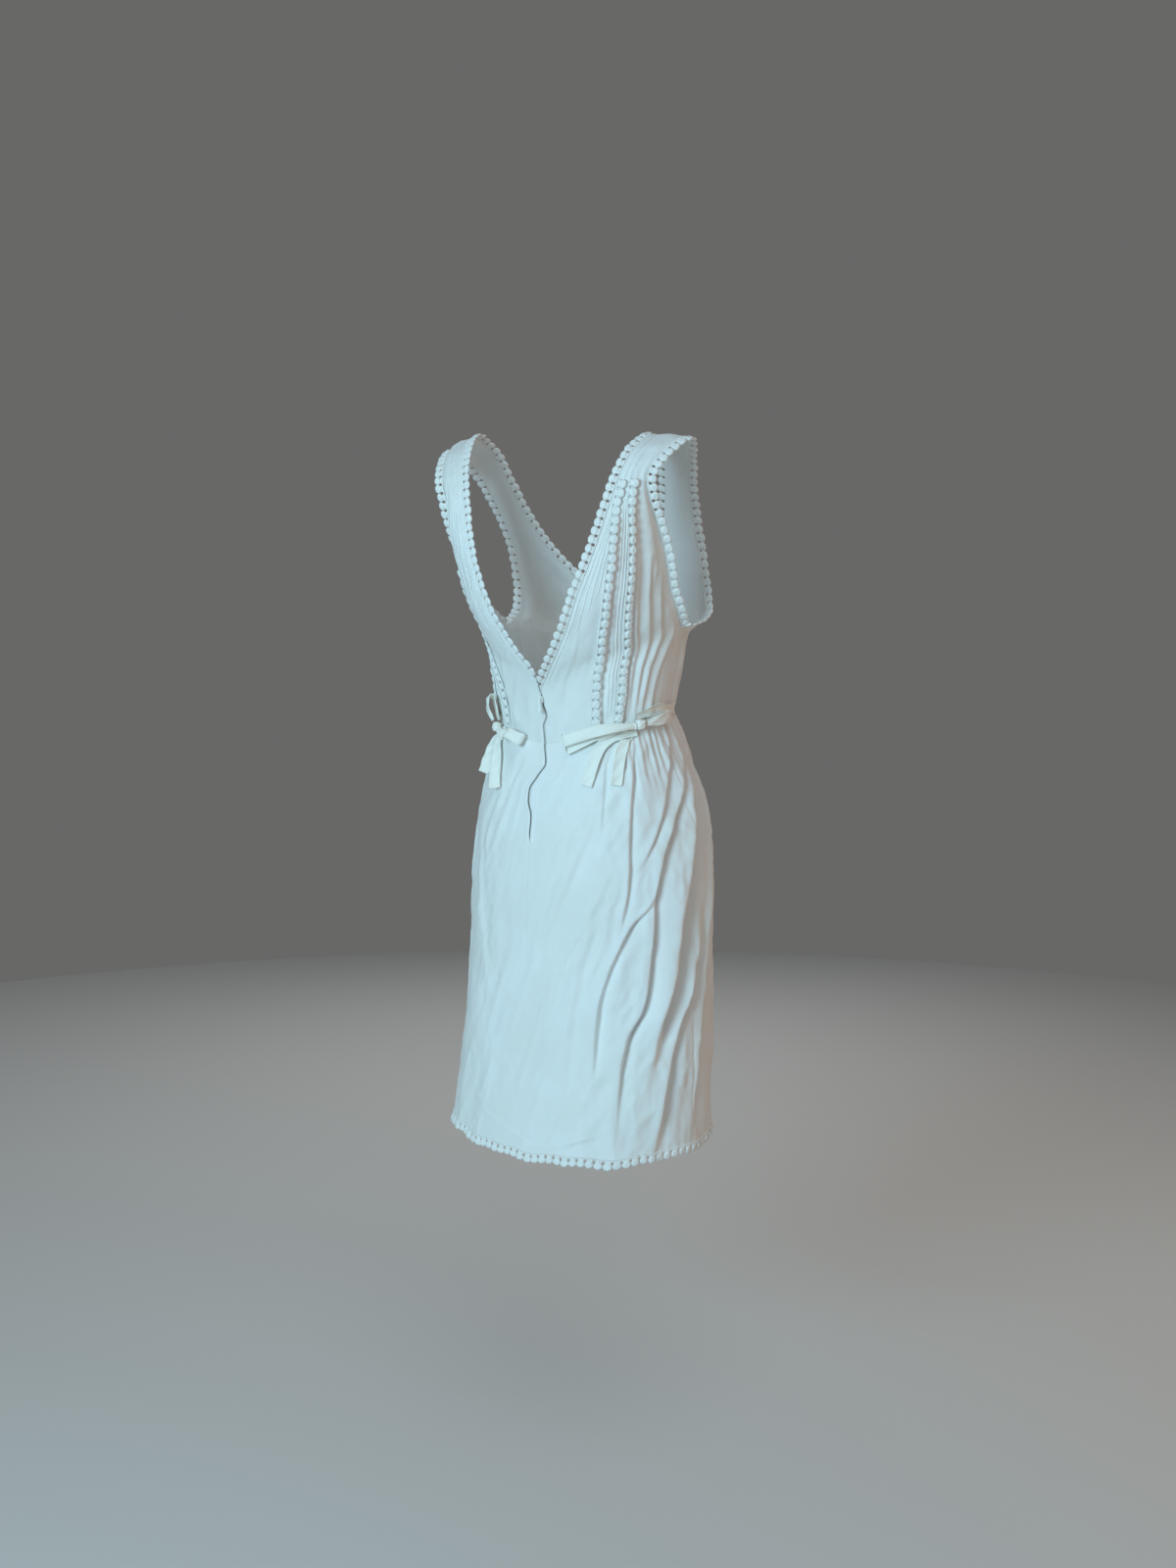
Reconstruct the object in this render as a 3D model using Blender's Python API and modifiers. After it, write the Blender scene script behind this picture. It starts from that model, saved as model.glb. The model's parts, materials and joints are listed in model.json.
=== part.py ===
# Sleeveless white cotton wedding dress with crochet trim, worn open: a deep V back with a concealed zip,
# a tied waist and a straight skirt. Metres, +Z up. The wearer faces -Y and the wearer's left is +X.
# The origin is between the tops of the two shoulder straps, where the wearer holds the dress up.
# Heights are given as a drop below that line. Every cloth piece is worked out on one pair of surfaces,
# the bodice and the skirt, so pieces that meet or lie on each other share the same form.
import math

import bmesh
import bpy
import numpy as np
from mathutils import Matrix, Vector

WALL = 0.0015
SEAM = 0.0003
ZIP_SLIT = 0.0008
ROW_GAP = 0.0006
TRIM_WIDTH = 0.0125
TRIM_THICK = 0.0020
TRIM_RAISE = 0.0005
SCALLOP = 0.0118
SCALLOP_DEPTH = 0.0034
ARMHOLE_SCALLOPS = 54
STRIP_WIDTH = 0.0130
STRIP_THICK = 0.0014
MITRE = 0.0012
TIE_WIDTH = 0.0150
TIE_THICK = 0.0011
ZIP_END = 0.25
TAPE_WIDTH = 0.024
TAPE_THICK = 0.0008
TAPE_GAP = 0.0012
TAPE_TOP = 0.058
SAME = 1e-6

RIGHT, LEFT = -1, 1
BACK_V, BACK_ARM, SHOULDER, FRONT_V, FRONT_ARM = 0.17, 0.24, 1.00, 1.56, 1.66

# Each row of the bodice is a curve from the centre or neck edge to the side or armhole edge. It runs from
# the back waist (0) over the shoulder (1) to the front waist (2). Columns: place, then x, y and drop of
# the inner end, x, y and drop of the outer end, how far the curve bulges towards a square corner, and how
# much nearer the centre the neck edge lies on the left side.
BODICE = (
    (0.00, 0.0000, 0.0880, 0.405, 0.1200, 0.000, 0.372, 0.95, 0.000),
    (0.09, 0.0000, 0.0900, 0.373, 0.1240, -0.006, 0.333, 0.95, 0.000),
    (0.17, 0.0000, 0.0940, 0.338, 0.1290, -0.018, 0.294, 0.94, 0.000),
    (0.24, 0.0130, 0.1000, 0.317, 0.1360, -0.036, 0.254, 0.84, 0.006),
    (0.30, 0.0260, 0.1065, 0.300, 0.1400, -0.026, 0.239, 0.76, 0.009),
    (0.36, 0.0380, 0.1110, 0.283, 0.1430, -0.018, 0.226, 0.68, 0.008),
    (0.45, 0.0585, 0.1145, 0.245, 0.1430, -0.010, 0.209, 0.62, 0.005),
    (0.54, 0.0735, 0.1100, 0.209, 0.1455, 0.000, 0.184, 0.58, 0.004),
    (0.63, 0.0870, 0.1020, 0.174, 0.1480, 0.011, 0.156, 0.56, 0.004),
    (0.72, 0.0980, 0.0925, 0.141, 0.1475, 0.026, 0.125, 0.56, 0.005),
    (0.81, 0.1075, 0.0795, 0.100, 0.1470, 0.045, 0.092, 0.58, 0.005),
    (0.89, 0.1160, 0.0670, 0.060, 0.1490, 0.055, 0.064, 0.52, 0.004),
    (0.95, 0.1245, 0.0410, 0.022, 0.1630, 0.033, 0.033, 0.50, 0.002),
    (1.00, 0.1335, -0.0010, 0.001, 0.1760, -0.001, 0.015, 0.50, 0.000),
    (1.05, 0.1280, -0.0420, 0.021, 0.1640, -0.038, 0.033, 0.50, 0.000),
    (1.12, 0.1180, -0.0710, 0.063, 0.1500, -0.072, 0.072, 0.50, 0.000),
    (1.21, 0.1040, -0.0940, 0.108, 0.1420, -0.099, 0.115, 0.60, 0.000),
    (1.31, 0.0830, -0.1130, 0.152, 0.1400, -0.113, 0.160, 0.70, 0.000),
    (1.41, 0.0510, -0.1260, 0.193, 0.1410, -0.115, 0.200, 0.80, 0.000),
    (1.50, 0.0160, -0.1310, 0.225, 0.1445, -0.103, 0.230, 0.88, 0.000),
    (1.56, 0.0000, -0.1320, 0.243, 0.1460, -0.082, 0.243, 0.92, 0.000),
    (1.61, 0.0000, -0.1310, 0.255, 0.1420, -0.058, 0.250, 0.94, 0.000),
    (1.66, 0.0000, -0.1300, 0.268, 0.1360, -0.036, 0.254, 0.95, 0.000),
    (1.75, 0.0000, -0.1240, 0.295, 0.1290, -0.018, 0.294, 0.95, 0.000),
    (1.87, 0.0000, -0.1110, 0.328, 0.1240, -0.006, 0.333, 0.95, 0.000),
    (2.00, 0.0000, -0.1000, 0.355, 0.1200, 0.000, 0.372, 0.95, 0.000),
)

# Rings of the skirt from waist (0) to hem (1). Columns: place, y and drop at the centre back, x and drop
# at the side seam, y and drop at the centre front.
SKIRT = (
    (0.00, 0.088, 0.405, 0.120, 0.372, -0.100, 0.355),
    (0.06, 0.098, 0.436, 0.132, 0.404, -0.106, 0.388),
    (0.14, 0.112, 0.478, 0.148, 0.448, -0.112, 0.433),
    (0.25, 0.127, 0.535, 0.164, 0.508, -0.118, 0.494),
    (0.38, 0.132, 0.603, 0.172, 0.580, -0.121, 0.568),
    (0.55, 0.130, 0.690, 0.175, 0.672, -0.122, 0.661),
    (0.75, 0.131, 0.797, 0.180, 0.781, -0.125, 0.772),
    (1.00, 0.136, 0.937, 0.189, 0.922, -0.131, 0.913),
)
SKIRT_BULGE = 1.0
QUARTER = 0.245
HIP = 0.25
WAIST_QUARTER = 0.66

# Length of the skirt, how many places of the bodice table a metre above the waist covers, the width of a
# bodice row at the waist with the share of it lost at the shoulder, how much longer a row's curve is than
# its chord, and the same for how fast a skirt ring starts from the centre back.
SKIRT_LENGTH = 0.53
PLACES_A_METRE = 2.75
BODICE_WIDTH, BODICE_NARROWING = 0.17, 0.35
CURVE_SHARE = 1.15
RING_START = 1.95
FOLD_RAMP = 0.22
LONGEST_ROW, SHOULDER_REACH = 0.075, 0.13
UNDERARM_BACK, UNDERARM_FRONT = 0.31, 1.46

# How the standing figure leans and turns: drop, shift to the left, shift to the back, turn in degrees.
POSE = (
    (-0.03, 0.000, 0.000, 8.0),
    (0.08, -0.001, 0.002, 8.0),
    (0.20, -0.010, -0.002, 6.5),
    (0.26, -0.014, -0.015, 4.0),
    (0.32, -0.014, -0.025, 1.0),
    (0.40, -0.012, -0.038, -3.0),
    (0.53, -0.011, -0.055, -6.0),
    (0.75, -0.008, -0.050, -6.0),
    (0.95, -0.003, -0.034, -6.0),
)

# Skirt folds. Columns: place where the fold starts and ends down the skirt, its place round the skirt
# at the start, middle and end (0 centre back, 1 left side seam, -1 right side seam, 2 centre front),
# depth (below zero is a trough) and half width in metres.
SKIRT_FOLDS = (
    (-0.02, 0.46, -0.70, -0.60, -0.52, -0.0035, 0.0075),
    (0.00, 0.20, -0.50, -0.44, -0.41, -0.0020, 0.0060),
    (0.00, 0.36, -0.60, -0.52, -0.47, 0.0022, 0.0090),
    (0.00, 0.30, -0.93, -0.80, -0.68, -0.0040, 0.0080),
    (0.00, 0.38, -0.82, -0.70, -0.62, 0.0030, 0.0100),
    (0.02, 0.97, -1.14, -0.74, -0.52, -0.0070, 0.0100),
    (0.36, 0.88, -0.73, -0.50, -0.38, -0.0050, 0.0095),
    (0.06, 1.02, -1.03, -0.80, -0.60, 0.0060, 0.0140),
    (0.08, 1.00, -1.16, -0.91, -0.69, -0.0090, 0.0130),
    (0.20, 1.02, -1.16, -0.98, -0.78, 0.0060, 0.0140),
    (0.42, 1.02, -1.14, -0.97, -0.83, -0.0060, 0.0100),
    (0.04, 0.90, -1.30, -1.26, -1.20, -0.0060, 0.0150),
    (0.02, 0.96, -1.46, -1.44, -1.40, -0.0045, 0.0150),
    (0.06, 1.02, 1.20, 1.26, 1.30, -0.0045, 0.0150),
    (0.04, 0.80, 1.46, 1.46, 1.48, -0.0040, 0.0150),
    (0.10, 1.02, 1.78, 1.72, 1.70, -0.0040, 0.0160),
    (0.06, 1.02, -1.74, -1.76, -1.74, -0.0050, 0.0160),
    (0.02, 0.50, 0.66, 0.60, 0.54, -0.0018, 0.0100),
    (0.30, 1.02, 0.84, 0.78, 0.74, -0.0030, 0.0140),
)

# Soft folds of the bodice, gathered from the armhole to the waist. Columns: side, place where the fold
# starts and ends up the bodice, its place across at the start and the end, depth and half width.
BODICE_FOLDS = (
    (RIGHT, 0.02, 0.86, 0.60, 0.64, -0.0050, 0.0060),
    (RIGHT, 0.02, 0.60, 0.66, 0.74, 0.0030, 0.0060),
    (RIGHT, 0.02, 0.52, 0.73, 0.82, -0.0040, 0.0060),
    (RIGHT, 0.02, 0.42, 0.81, 0.90, 0.0030, 0.0060),
    (RIGHT, 0.02, 0.30, 0.88, 0.97, -0.0035, 0.0060),
    (LEFT, 0.26, 0.80, 0.69, 0.83, -0.0030, 0.0050),
    (LEFT, 0.02, 0.42, 0.82, 0.93, -0.0030, 0.0070),
    (RIGHT, 1.98, 1.50, 0.66, 0.74, -0.0035, 0.0090),
    (RIGHT, 1.98, 1.62, 0.80, 0.88, -0.0030, 0.0080),
    (LEFT, 1.98, 1.50, 0.66, 0.74, -0.0035, 0.0090),
    (LEFT, 1.98, 1.62, 0.80, 0.88, -0.0030, 0.0080),
)

# Crochet strips on each back. Columns: place up the bodice, place across of the first and second strip.
STRIPS = {
    RIGHT: (
        (0.03, 0.385, 0.560),
        (0.10, 0.372, 0.568),
        (0.20, 0.362, 0.548),
        (0.36, 0.335, 0.536),
        (0.51, 0.315, 0.546),
        (0.64, 0.262, 0.533),
        (0.74, 0.215, 0.520),
        (0.83, 0.155, 0.490),
        (0.92, 0.180, 0.525),
        (0.99, 0.180, 0.570),
    ),
    LEFT: (
        (0.03, 0.345, 0.620),
        (0.10, 0.355, 0.660),
        (0.17, 0.400, 0.720),
        (0.24, 0.520, 0.760),
        (0.30, 0.620, 0.800),
        (0.36, 0.670, 0.830),
        (0.45, 0.700, 0.850),
        (0.54, 0.720, 0.860),
        (0.63, 0.700, 0.860),
        (0.72, 0.550, 0.800),
        (0.83, 0.450, 0.750),
        (0.99, 0.420, 0.740),
    ),
}
STRIP_TOP = {RIGHT: 0.88, LEFT: 0.58}
STRIP_LIFT = {RIGHT: 0.0009, LEFT: 0.0015}

# How the two shoulders differ. Columns: place up the bodice, how far the right strap tips outwards, how
# much nearer the centre and how much further back the left armhole edge lies.
UNEVEN = (
    (0.24, 0.000, 0.000, 0.0000),
    (0.36, 0.000, 0.000, 0.0030),
    (0.45, 0.000, 0.000, 0.0060),
    (0.54, 0.000, 0.000, 0.0040),
    (0.63, 0.000, 0.000, 0.0065),
    (0.72, 0.000, 0.000, 0.0090),
    (0.81, 0.003, 0.000, 0.0020),
    (0.89, 0.006, 0.001, 0.0000),
    (0.95, 0.007, 0.004, 0.0000),
    (1.00, 0.008, 0.009, 0.0000),
    (1.05, 0.008, 0.006, 0.0000),
    (1.12, 0.006, 0.002, 0.0000),
    (1.21, 0.003, 0.000, 0.0000),
    (1.31, 0.000, 0.000, 0.0000),
)

# How the armhole trims stand away from the body. Columns: place up the bodice, outwards on the right side,
# outwards and backwards on the left side.
FLARE = (
    (0.24, 1.0, 0.0, 0.0),
    (0.33, 2.0, 0.0, 0.0),
    (0.45, 2.0, 0.0, 0.0),
    (0.56, 2.0, 0.3, 0.0),
    (0.66, 2.0, 2.0, 0.8),
    (0.74, 2.0, 3.0, 1.0),
    (0.85, 2.0, 3.0, 1.0),
    (0.92, 1.0, 2.0, 0.5),
    (0.97, 0.0, 0.5, 0.0),
    (1.04, 0.0, 0.5, 0.0),
    (1.12, 1.5, 1.5, 0.0),
    (1.40, 2.5, 2.0, 0.0),
    (1.56, 2.0, 2.0, 0.0),
    (1.66, 1.0, 1.0, 0.0),
)
TIP_SHARE = 0.2


def lookup(table, place):
    """Read a table between its rows, along a smooth curve that never overshoots them."""
    rows = np.array(table, float)
    keys = rows[:, 0]
    secants = np.diff(rows, axis=0) / np.diff(keys)[:, None]
    before, after = secants[:-1], secants[1:]
    same_way = before * after > 0
    inner = np.where(same_way, 2 * before * after / np.where(same_way, before + after, 1), 0)
    slopes = np.concatenate([secants[:1], inner, secants[-1:]])
    place = np.asarray(place, float)
    row = np.clip(np.searchsorted(keys, place, side="right") - 1, 0, len(keys) - 2)
    step = (keys[row + 1] - keys[row])[..., None]
    f = np.clip((place[..., None] - keys[row][..., None]) / step, 0, 1)
    start, end = rows[row], rows[row + 1]
    rise = f * (1 - f) ** 2 * step * slopes[row] + f * f * (f - 1) * step * slopes[row + 1]
    return (1 + 2 * f) * (1 - f) ** 2 * start + f * f * (3 - 2 * f) * end + rise


def posed(points):
    """Lean and turn points of the upright garment."""
    row = lookup(POSE, -points[..., 2])
    turn = np.radians(row[..., 3])
    c, s = np.cos(turn), np.sin(turn)
    x = points[..., 0] * c - points[..., 1] * s + row[..., 1]
    y = points[..., 0] * s + points[..., 1] * c + row[..., 2]
    return np.stack([x, y, points[..., 2]], -1)


def unit(vectors):
    return vectors / np.linalg.norm(vectors, axis=-1, keepdims=True)


def section(inner, outer, bulge, across):
    """One cross curve: a conic from the inner to the outer end."""
    middle = (inner + outer) / 2
    corner = np.stack([outer[..., 0], inner[..., 1], middle[..., 2]], -1)
    control = middle + bulge[..., None] * (corner - middle)
    v = across[..., None]
    return (1 - v) ** 2 * inner + 2 * v * (1 - v) * control + v * v * outer


def plain_bodice(side, s, v):
    row, uneven = lookup(BODICE, s), lookup(UNEVEN, s)
    inner = np.stack([row[..., 1], row[..., 2], -row[..., 3]], -1)
    outer = np.stack([row[..., 4], row[..., 5], -row[..., 6]], -1)
    if side == LEFT:
        inner[..., 0] -= row[..., 8]
        outer[..., 0] -= uneven[..., 2]
        outer[..., 1] += uneven[..., 3]
    else:
        inner[..., 2] -= uneven[..., 1]
        outer[..., 2] += TIP_SHARE * uneven[..., 1]
    points = section(inner, outer, row[..., 7], v)
    return points * np.array([side, 1, 1])


def wrapped(u):
    """A place round the skirt, brought to between -2 and 2."""
    return (u + 2) % 4 - 2


def plain_skirt(u, t):
    u = wrapped(u)
    row = lookup(SKIRT, t)
    back = np.abs(u) <= 1
    zero = np.zeros(row.shape[:-1])
    inner = np.stack([zero, np.where(back, row[..., 1], row[..., 5]),
                      -np.where(back, row[..., 2], row[..., 6])], -1)
    outer = np.stack([row[..., 3], zero, -row[..., 4]], -1)
    across = np.where(back, np.abs(u), 2 - np.abs(u))
    points = section(inner, outer, np.full_like(zero, SKIRT_BULGE), across)
    points[..., 0] *= np.where(u < 0, -1, 1)
    return points


def fade(value, start, end):
    """One between start and end, falling softly to nothing at both."""
    ramp = np.clip((value - start) / (FOLD_RAMP * (end - start)), 0, 1)
    fall = np.clip((end - value) / (FOLD_RAMP * (end - start)), 0, 1)
    ramp = np.minimum(ramp, fall)
    return ramp * ramp * (3 - 2 * ramp)


def skirt_relief(u, t):
    total = np.zeros_like(t)
    for start, end, u_start, u_middle, u_end, depth, half_width in SKIRT_FOLDS:
        f = np.clip((t - start) / (end - start), 0, 1)
        centre = (1 - f) * (1 - 2 * f) * u_start + 4 * f * (1 - f) * u_middle + f * (2 * f - 1) * u_end
        widening = WAIST_QUARTER + (1 - WAIST_QUARTER) * np.clip(t / HIP, 0, 1)
        distance = wrapped(u - centre) * QUARTER * widening
        total += depth * np.exp(-(distance / half_width) ** 2) * fade(t, start, end)
    return total * np.clip(t / 0.04, 0, 1)


def bodice_relief(side, s, v):
    total = np.zeros_like(s)
    for fold_side, start, end, v_start, v_end, depth, half_width in BODICE_FOLDS:
        if fold_side != side:
            continue
        f = np.clip((s - start) / (end - start), 0, 1)
        distance = (v - v_start - (v_end - v_start) * f) * BODICE_WIDTH * (1 - BODICE_NARROWING * f)
        low, high = min(start, end), max(start, end)
        total += depth * np.exp(-(distance / half_width) ** 2) * fade(s, low, high)
    edge = np.clip((1 - v) / 0.08, 0, 1) * np.clip(np.minimum(s, 2 - s) / 0.05, 0, 1)
    return total * edge


def skirt_normal(u, t):
    d = 1e-3
    along = plain_skirt(u, np.clip(t + d, 0, 1)) - plain_skirt(u, np.clip(t - d, 0, 1))
    across = plain_skirt(u + d, t) - plain_skirt(u - d, t)
    return unit(np.cross(across, along))


def bodice_normal(side, s, v):
    d = 1e-3
    s, v = np.broadcast_arrays(np.asarray(s, float), np.asarray(v, float))
    along = plain_bodice(side, s + d, v) - plain_bodice(side, s - d, v)
    across = plain_bodice(side, s, v + d) - plain_bodice(side, s, v - d)
    normal = unit(np.cross(along, across)) * side
    below_arm = (s <= BACK_ARM + d) | (s >= FRONT_ARM - d)
    below_neck = (s <= BACK_V + d) | (s >= FRONT_V - d)
    normal[..., 0] = np.where((v < 0.01) & below_neck, 0.0, normal[..., 0])
    return unit(np.where(((v > 0.99) & below_arm)[..., None], (side, 0.0, 0.0), normal))


def skirt(u, t, lift=0.0):
    u, t = np.broadcast_arrays(np.asarray(u, float), np.asarray(t, float))
    height = skirt_relief(u, t) + lift
    return plain_skirt(u, t) + skirt_normal(u, t) * height[..., None]


def bodice(side, s, v, lift=0.0):
    s, v = np.broadcast_arrays(np.asarray(s, float), np.asarray(v, float))
    height = bodice_relief(side, s, v) + lift
    return plain_bodice(side, s, v) + bodice_normal(side, s, v) * height[..., None]


def around(u, rise, lift=0.0):
    """A point near the waist seam: round the body, up from the seam and out from the cloth."""
    u = wrapped(np.asarray(u, float))
    u, rise, lift = np.broadcast_arrays(*(np.asarray(a, float) for a in (u, rise, lift)))
    below = skirt(u, np.clip(-rise / SKIRT_LENGTH, 0, 1), lift)
    across = np.where(np.abs(u) <= 1, np.abs(u), 2 - np.abs(u))
    up = np.clip(rise, 0, 1) * PLACES_A_METRE
    place = np.where(np.abs(u) <= 1, up, 2 - up)
    above_left = bodice(LEFT, place, across, lift)
    above_right = bodice(RIGHT, place, across, lift)
    above = np.where((u >= 0)[..., None], above_left, above_right)
    return np.where((rise > 0)[..., None], above, below)


def around_normal(u, rise):
    d = 1e-3
    across = around(u + d, rise) - around(u - d, rise)
    up = around(u, rise + d) - around(u, rise - d)
    return unit(np.cross(up, across))


def material(name, color, roughness, metallic=0.0):
    made = bpy.data.materials.new(name)
    made.use_nodes = True
    shader = made.node_tree.nodes["Principled BSDF"]
    shader.inputs["Base Color"].default_value = (*color, 1.0)
    shader.inputs["Roughness"].default_value = roughness
    shader.inputs["Metallic"].default_value = metallic
    return made


def add_object(name, mesh, collection, look):
    color, roughness, metallic = look
    made = bpy.data.objects.new(name, mesh)
    mesh.materials.append(material(name, color, roughness, metallic))
    collection.objects.link(made)
    return made


def mesh_of(name, points, faces):
    mesh = bpy.data.meshes.new(name)
    mesh.from_pydata([tuple(p) for p in points], [], faces)
    mesh.update()
    return mesh


def wall(name, outer, inner, faces, collection, look):
    """One closed body: faces on the outer points, the same on the inner ones and a rim all round."""
    count = len(outer)
    rim = {}
    for face in faces:
        for a, b in zip(face, face[1:] + face[:1]):
            if (b, a) in rim:
                del rim[(b, a)]
            else:
                rim[(a, b)] = (b, a, count + a, count + b)
    closed = list(faces) + [tuple(count + k for k in reversed(face)) for face in faces]
    points = posed(np.concatenate([outer, inner]))
    return add_object(name, mesh_of(name, points, closed + list(rim.values())), collection, look)


def grid_faces(index, flip):
    """Pairs of triangles over a grid of point numbers, split the same way on both skins."""
    faces = []
    for upper, lower in zip(index[:-1], index[1:]):
        for j in range(len(upper) - 1):
            for face in ((upper[j], lower[j], lower[j + 1]), (upper[j], lower[j + 1], upper[j + 1])):
                faces.append(face[::-1] if flip else face)
    return faces


def panel(name, points, outward, flip, collection, look, thickness=WALL):
    """Cloth over a grid of points, with its wall on the inner side."""
    index = np.arange(points[..., 0].size).reshape(points.shape[:2]).tolist()
    outer = points.reshape(-1, 3)
    inner = outer - outward.reshape(-1, 3) * thickness
    return wall(name, outer, inner, grid_faces(index, flip), collection, look)


def walk(points, count):
    """Split a line evenly, by scallops if no count is given: the count, and a reader of values along it."""
    steps = np.linalg.norm(np.diff(points, axis=0), axis=1)
    length = np.concatenate([[0], np.cumsum(steps)])
    count = count or round(length[-1] / SCALLOP)

    def read(values, fraction):
        at = fraction * length[-1]
        return np.array([np.interp(at, length, values[:, k]) for k in range(3)])
    return count, read


def scalloped(name, edge, away, normal, collection, look, width=TRIM_WIDTH, raised=TRIM_RAISE,
              thick=TRIM_THICK, corners=(0.25, 0.75, 1.0), keep_side=0, gap=SEAM, number=0):
    """Crochet trim with round scallops, sewn along an edge and reaching away from the cloth."""
    count, read = walk(edge, number)
    held = 1 - 2 * (MITRE if keep_side else SEAM / 2) / (count * SCALLOP)
    top, under = [], []

    def place(scallops, reach):
        fraction = 0.5 + (scallops / count - 0.5) * held
        base, towards = read(edge, fraction), unit(read(away, fraction))
        if keep_side:
            room = max(gap, keep_side * base[0] - MITRE / 2) / max(1e-6, -keep_side * towards[0])
            reach = min(reach, room) if towards[0] * keep_side < 0 else reach
        up = unit(read(normal, fraction))
        top.append(base + towards * reach + up * raised)
        under.append(base + towards * reach + up * (raised - thick))
        return len(top) - 1
    inner = [place(i, gap) for i in range(count + 1)]
    last = place(0, width - SCALLOP_DEPTH)
    faces = []
    for i in range(count):
        outer = [last]
        for step in corners:
            outer.append(place(i + step, width - (SCALLOP_DEPTH if step == 1.0 else 0.0)))
        last = outer[-1]
        fan = [inner[i + 1], *reversed(outer)]
        faces += [(inner[i], a, b) for a, b in zip(fan, fan[1:])]
    top, under = np.array(top), np.array(under)
    a, b, c = (top[k] for k in faces[0])
    if np.dot(np.cross(b - a, c - a), read(normal, 0.0)) < 0:
        faces = [face[::-1] for face in faces]
    return wall(name, top, under, faces, collection, look)


def edge_frame(points, normal, towards, closed=False, pull=0.0):
    """Directions along an edge: away from the cloth, turned by a pull, and out from it."""
    tangent = unit(np.gradient(points, axis=0))
    if closed:
        tangent[0] = tangent[-1] = unit(unit(points[1] - points[0]) + unit(points[-1] - points[-2]))
    away = unit(np.cross(normal, tangent))
    away *= np.sign((away * towards).sum(-1))[:, None]
    away += pull
    away = unit(away - tangent * (away * tangent).sum(-1, keepdims=True))
    out = np.cross(tangent, away)
    return away, out * np.sign((out * normal).sum(-1))[:, None]


def bodice_rows(start, end):
    """Rows of the bodice table between two places, closer together over the shoulder."""
    places = [row[0] for row in BODICE if start - SAME <= row[0] <= end + SAME]
    rows = [places[0]]
    for place in places[1:]:
        middle = (place + rows[-1]) / 2
        side_seam = middle < BACK_ARM or middle > FRONT_ARM
        near_shoulder = abs(middle - SHOULDER) < SHOULDER_REACH
        if not side_seam and (place - rows[-1] > LONGEST_ROW or near_shoulder):
            rows.append(middle)
        rows.append(place)
    return np.array(rows)


def section_length(rows):
    table = lookup(BODICE, rows)
    return CURVE_SHARE * np.linalg.norm(table[..., 1:4] - table[..., 4:7], axis=1)


def inner_slit(rows):
    """How far the inner end of each row is held back: more along the zip, nothing down the front."""
    gap = np.where(rows <= BACK_V + SAME, ZIP_SLIT, np.where(rows < SHOULDER, SEAM / 2, 0.0))
    return gap / section_length(rows)


def outer_slit(rows):
    return 1 - SEAM / 2 / section_length(rows)


def bodice_grid(side, start, end, columns):
    """Places, points and normals of one side of the bodice between two rows of its table."""
    rows = bodice_rows(start, end)
    low, high = inner_slit(rows)[:, None], outer_slit(rows)[:, None]
    v = low + np.array(columns)[None, :] * (high - low)
    rows[0] += ROW_GAP
    rows[-1] -= ROW_GAP
    s = np.repeat(rows[:, None], len(columns), 1)
    return {"rows": rows, "across": v, "points": bodice(side, s, v), "normals": bodice_normal(side, s, v)}


def on_grid(grid, s, v):
    """A point and normal on the flat faces of a panel's grid."""
    row = int(np.clip(np.searchsorted(grid["rows"], s) - 1, 0, len(grid["rows"]) - 2))
    f = np.clip((s - grid["rows"][row]) / (grid["rows"][row + 1] - grid["rows"][row]), 0, 1)
    read = []
    for values in (grid["points"], grid["normals"]):
        ends = [np.array([np.interp(v, grid["across"][k], values[k, :, axis]) for axis in range(3)])
                for k in (row, row + 1)]
        read.append(ends[0] * (1 - f) + ends[1] * f)
    return read[0], unit(read[1])


def neck_edge(side):
    """Neck edge of one side, from the bottom of the back V over the shoulder to the front V."""
    rows = bodice_rows(BACK_V, FRONT_V)
    v = inner_slit(rows)
    points = bodice(side, rows, v)
    towards = plain_bodice(side, rows, v) - plain_bodice(side, rows, v + 0.02)
    return points, *edge_frame(points, bodice_normal(side, rows, v), towards)


def armhole_pull(side, rows):
    table, none = lookup(FLARE, rows), np.zeros_like(rows)
    return np.stack([table[:, 2], table[:, 3], none] if side == LEFT else [-table[:, 1], none, none], -1)


def armhole_edge(side):
    """Armhole edge of one side, from the side seam up the back, over and down the front."""
    rows = bodice_rows(BACK_ARM, FRONT_ARM)
    v = outer_slit(rows)
    points = bodice(side, rows, v)
    towards = plain_bodice(side, rows, v) - plain_bodice(side, rows, v - 0.02)
    towards[(rows < UNDERARM_BACK) | (rows > UNDERARM_FRONT)] += (0, 0, 0.02)
    return points, *edge_frame(points, bodice_normal(side, rows, v), towards, True, armhole_pull(side, rows))


def crochet_strip(name, side, grid, column, collection):
    """A strip of scallops that lies on the bodice and points to the armhole."""
    first, last = STRIPS[side][0][0], STRIP_TOP[side]
    rows = np.array([first, *(s for s in grid["rows"] if first < s < last), last])
    steps = np.diff(rows)
    places = np.unique(np.concatenate([rows, rows[:-1] + steps / 3, rows[:-1] + steps * 2 / 3]))
    across = lookup(STRIPS[side], places)[..., column]
    read = [on_grid(grid, s, v) for s, v in zip(places, across)]
    points = np.array([r[0] for r in read])
    up = np.array([r[1] for r in read])
    towards = plain_bodice(side, places, across + 0.02) - plain_bodice(side, places, across)
    away, up = edge_frame(points, up, towards)
    edge = points - away * STRIP_WIDTH / 2
    scalloped(name, edge, away, up, collection, CROCHET, STRIP_WIDTH, STRIP_LIFT[side] + STRIP_THICK,
              STRIP_THICK, (0.5, 1.0))


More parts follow.
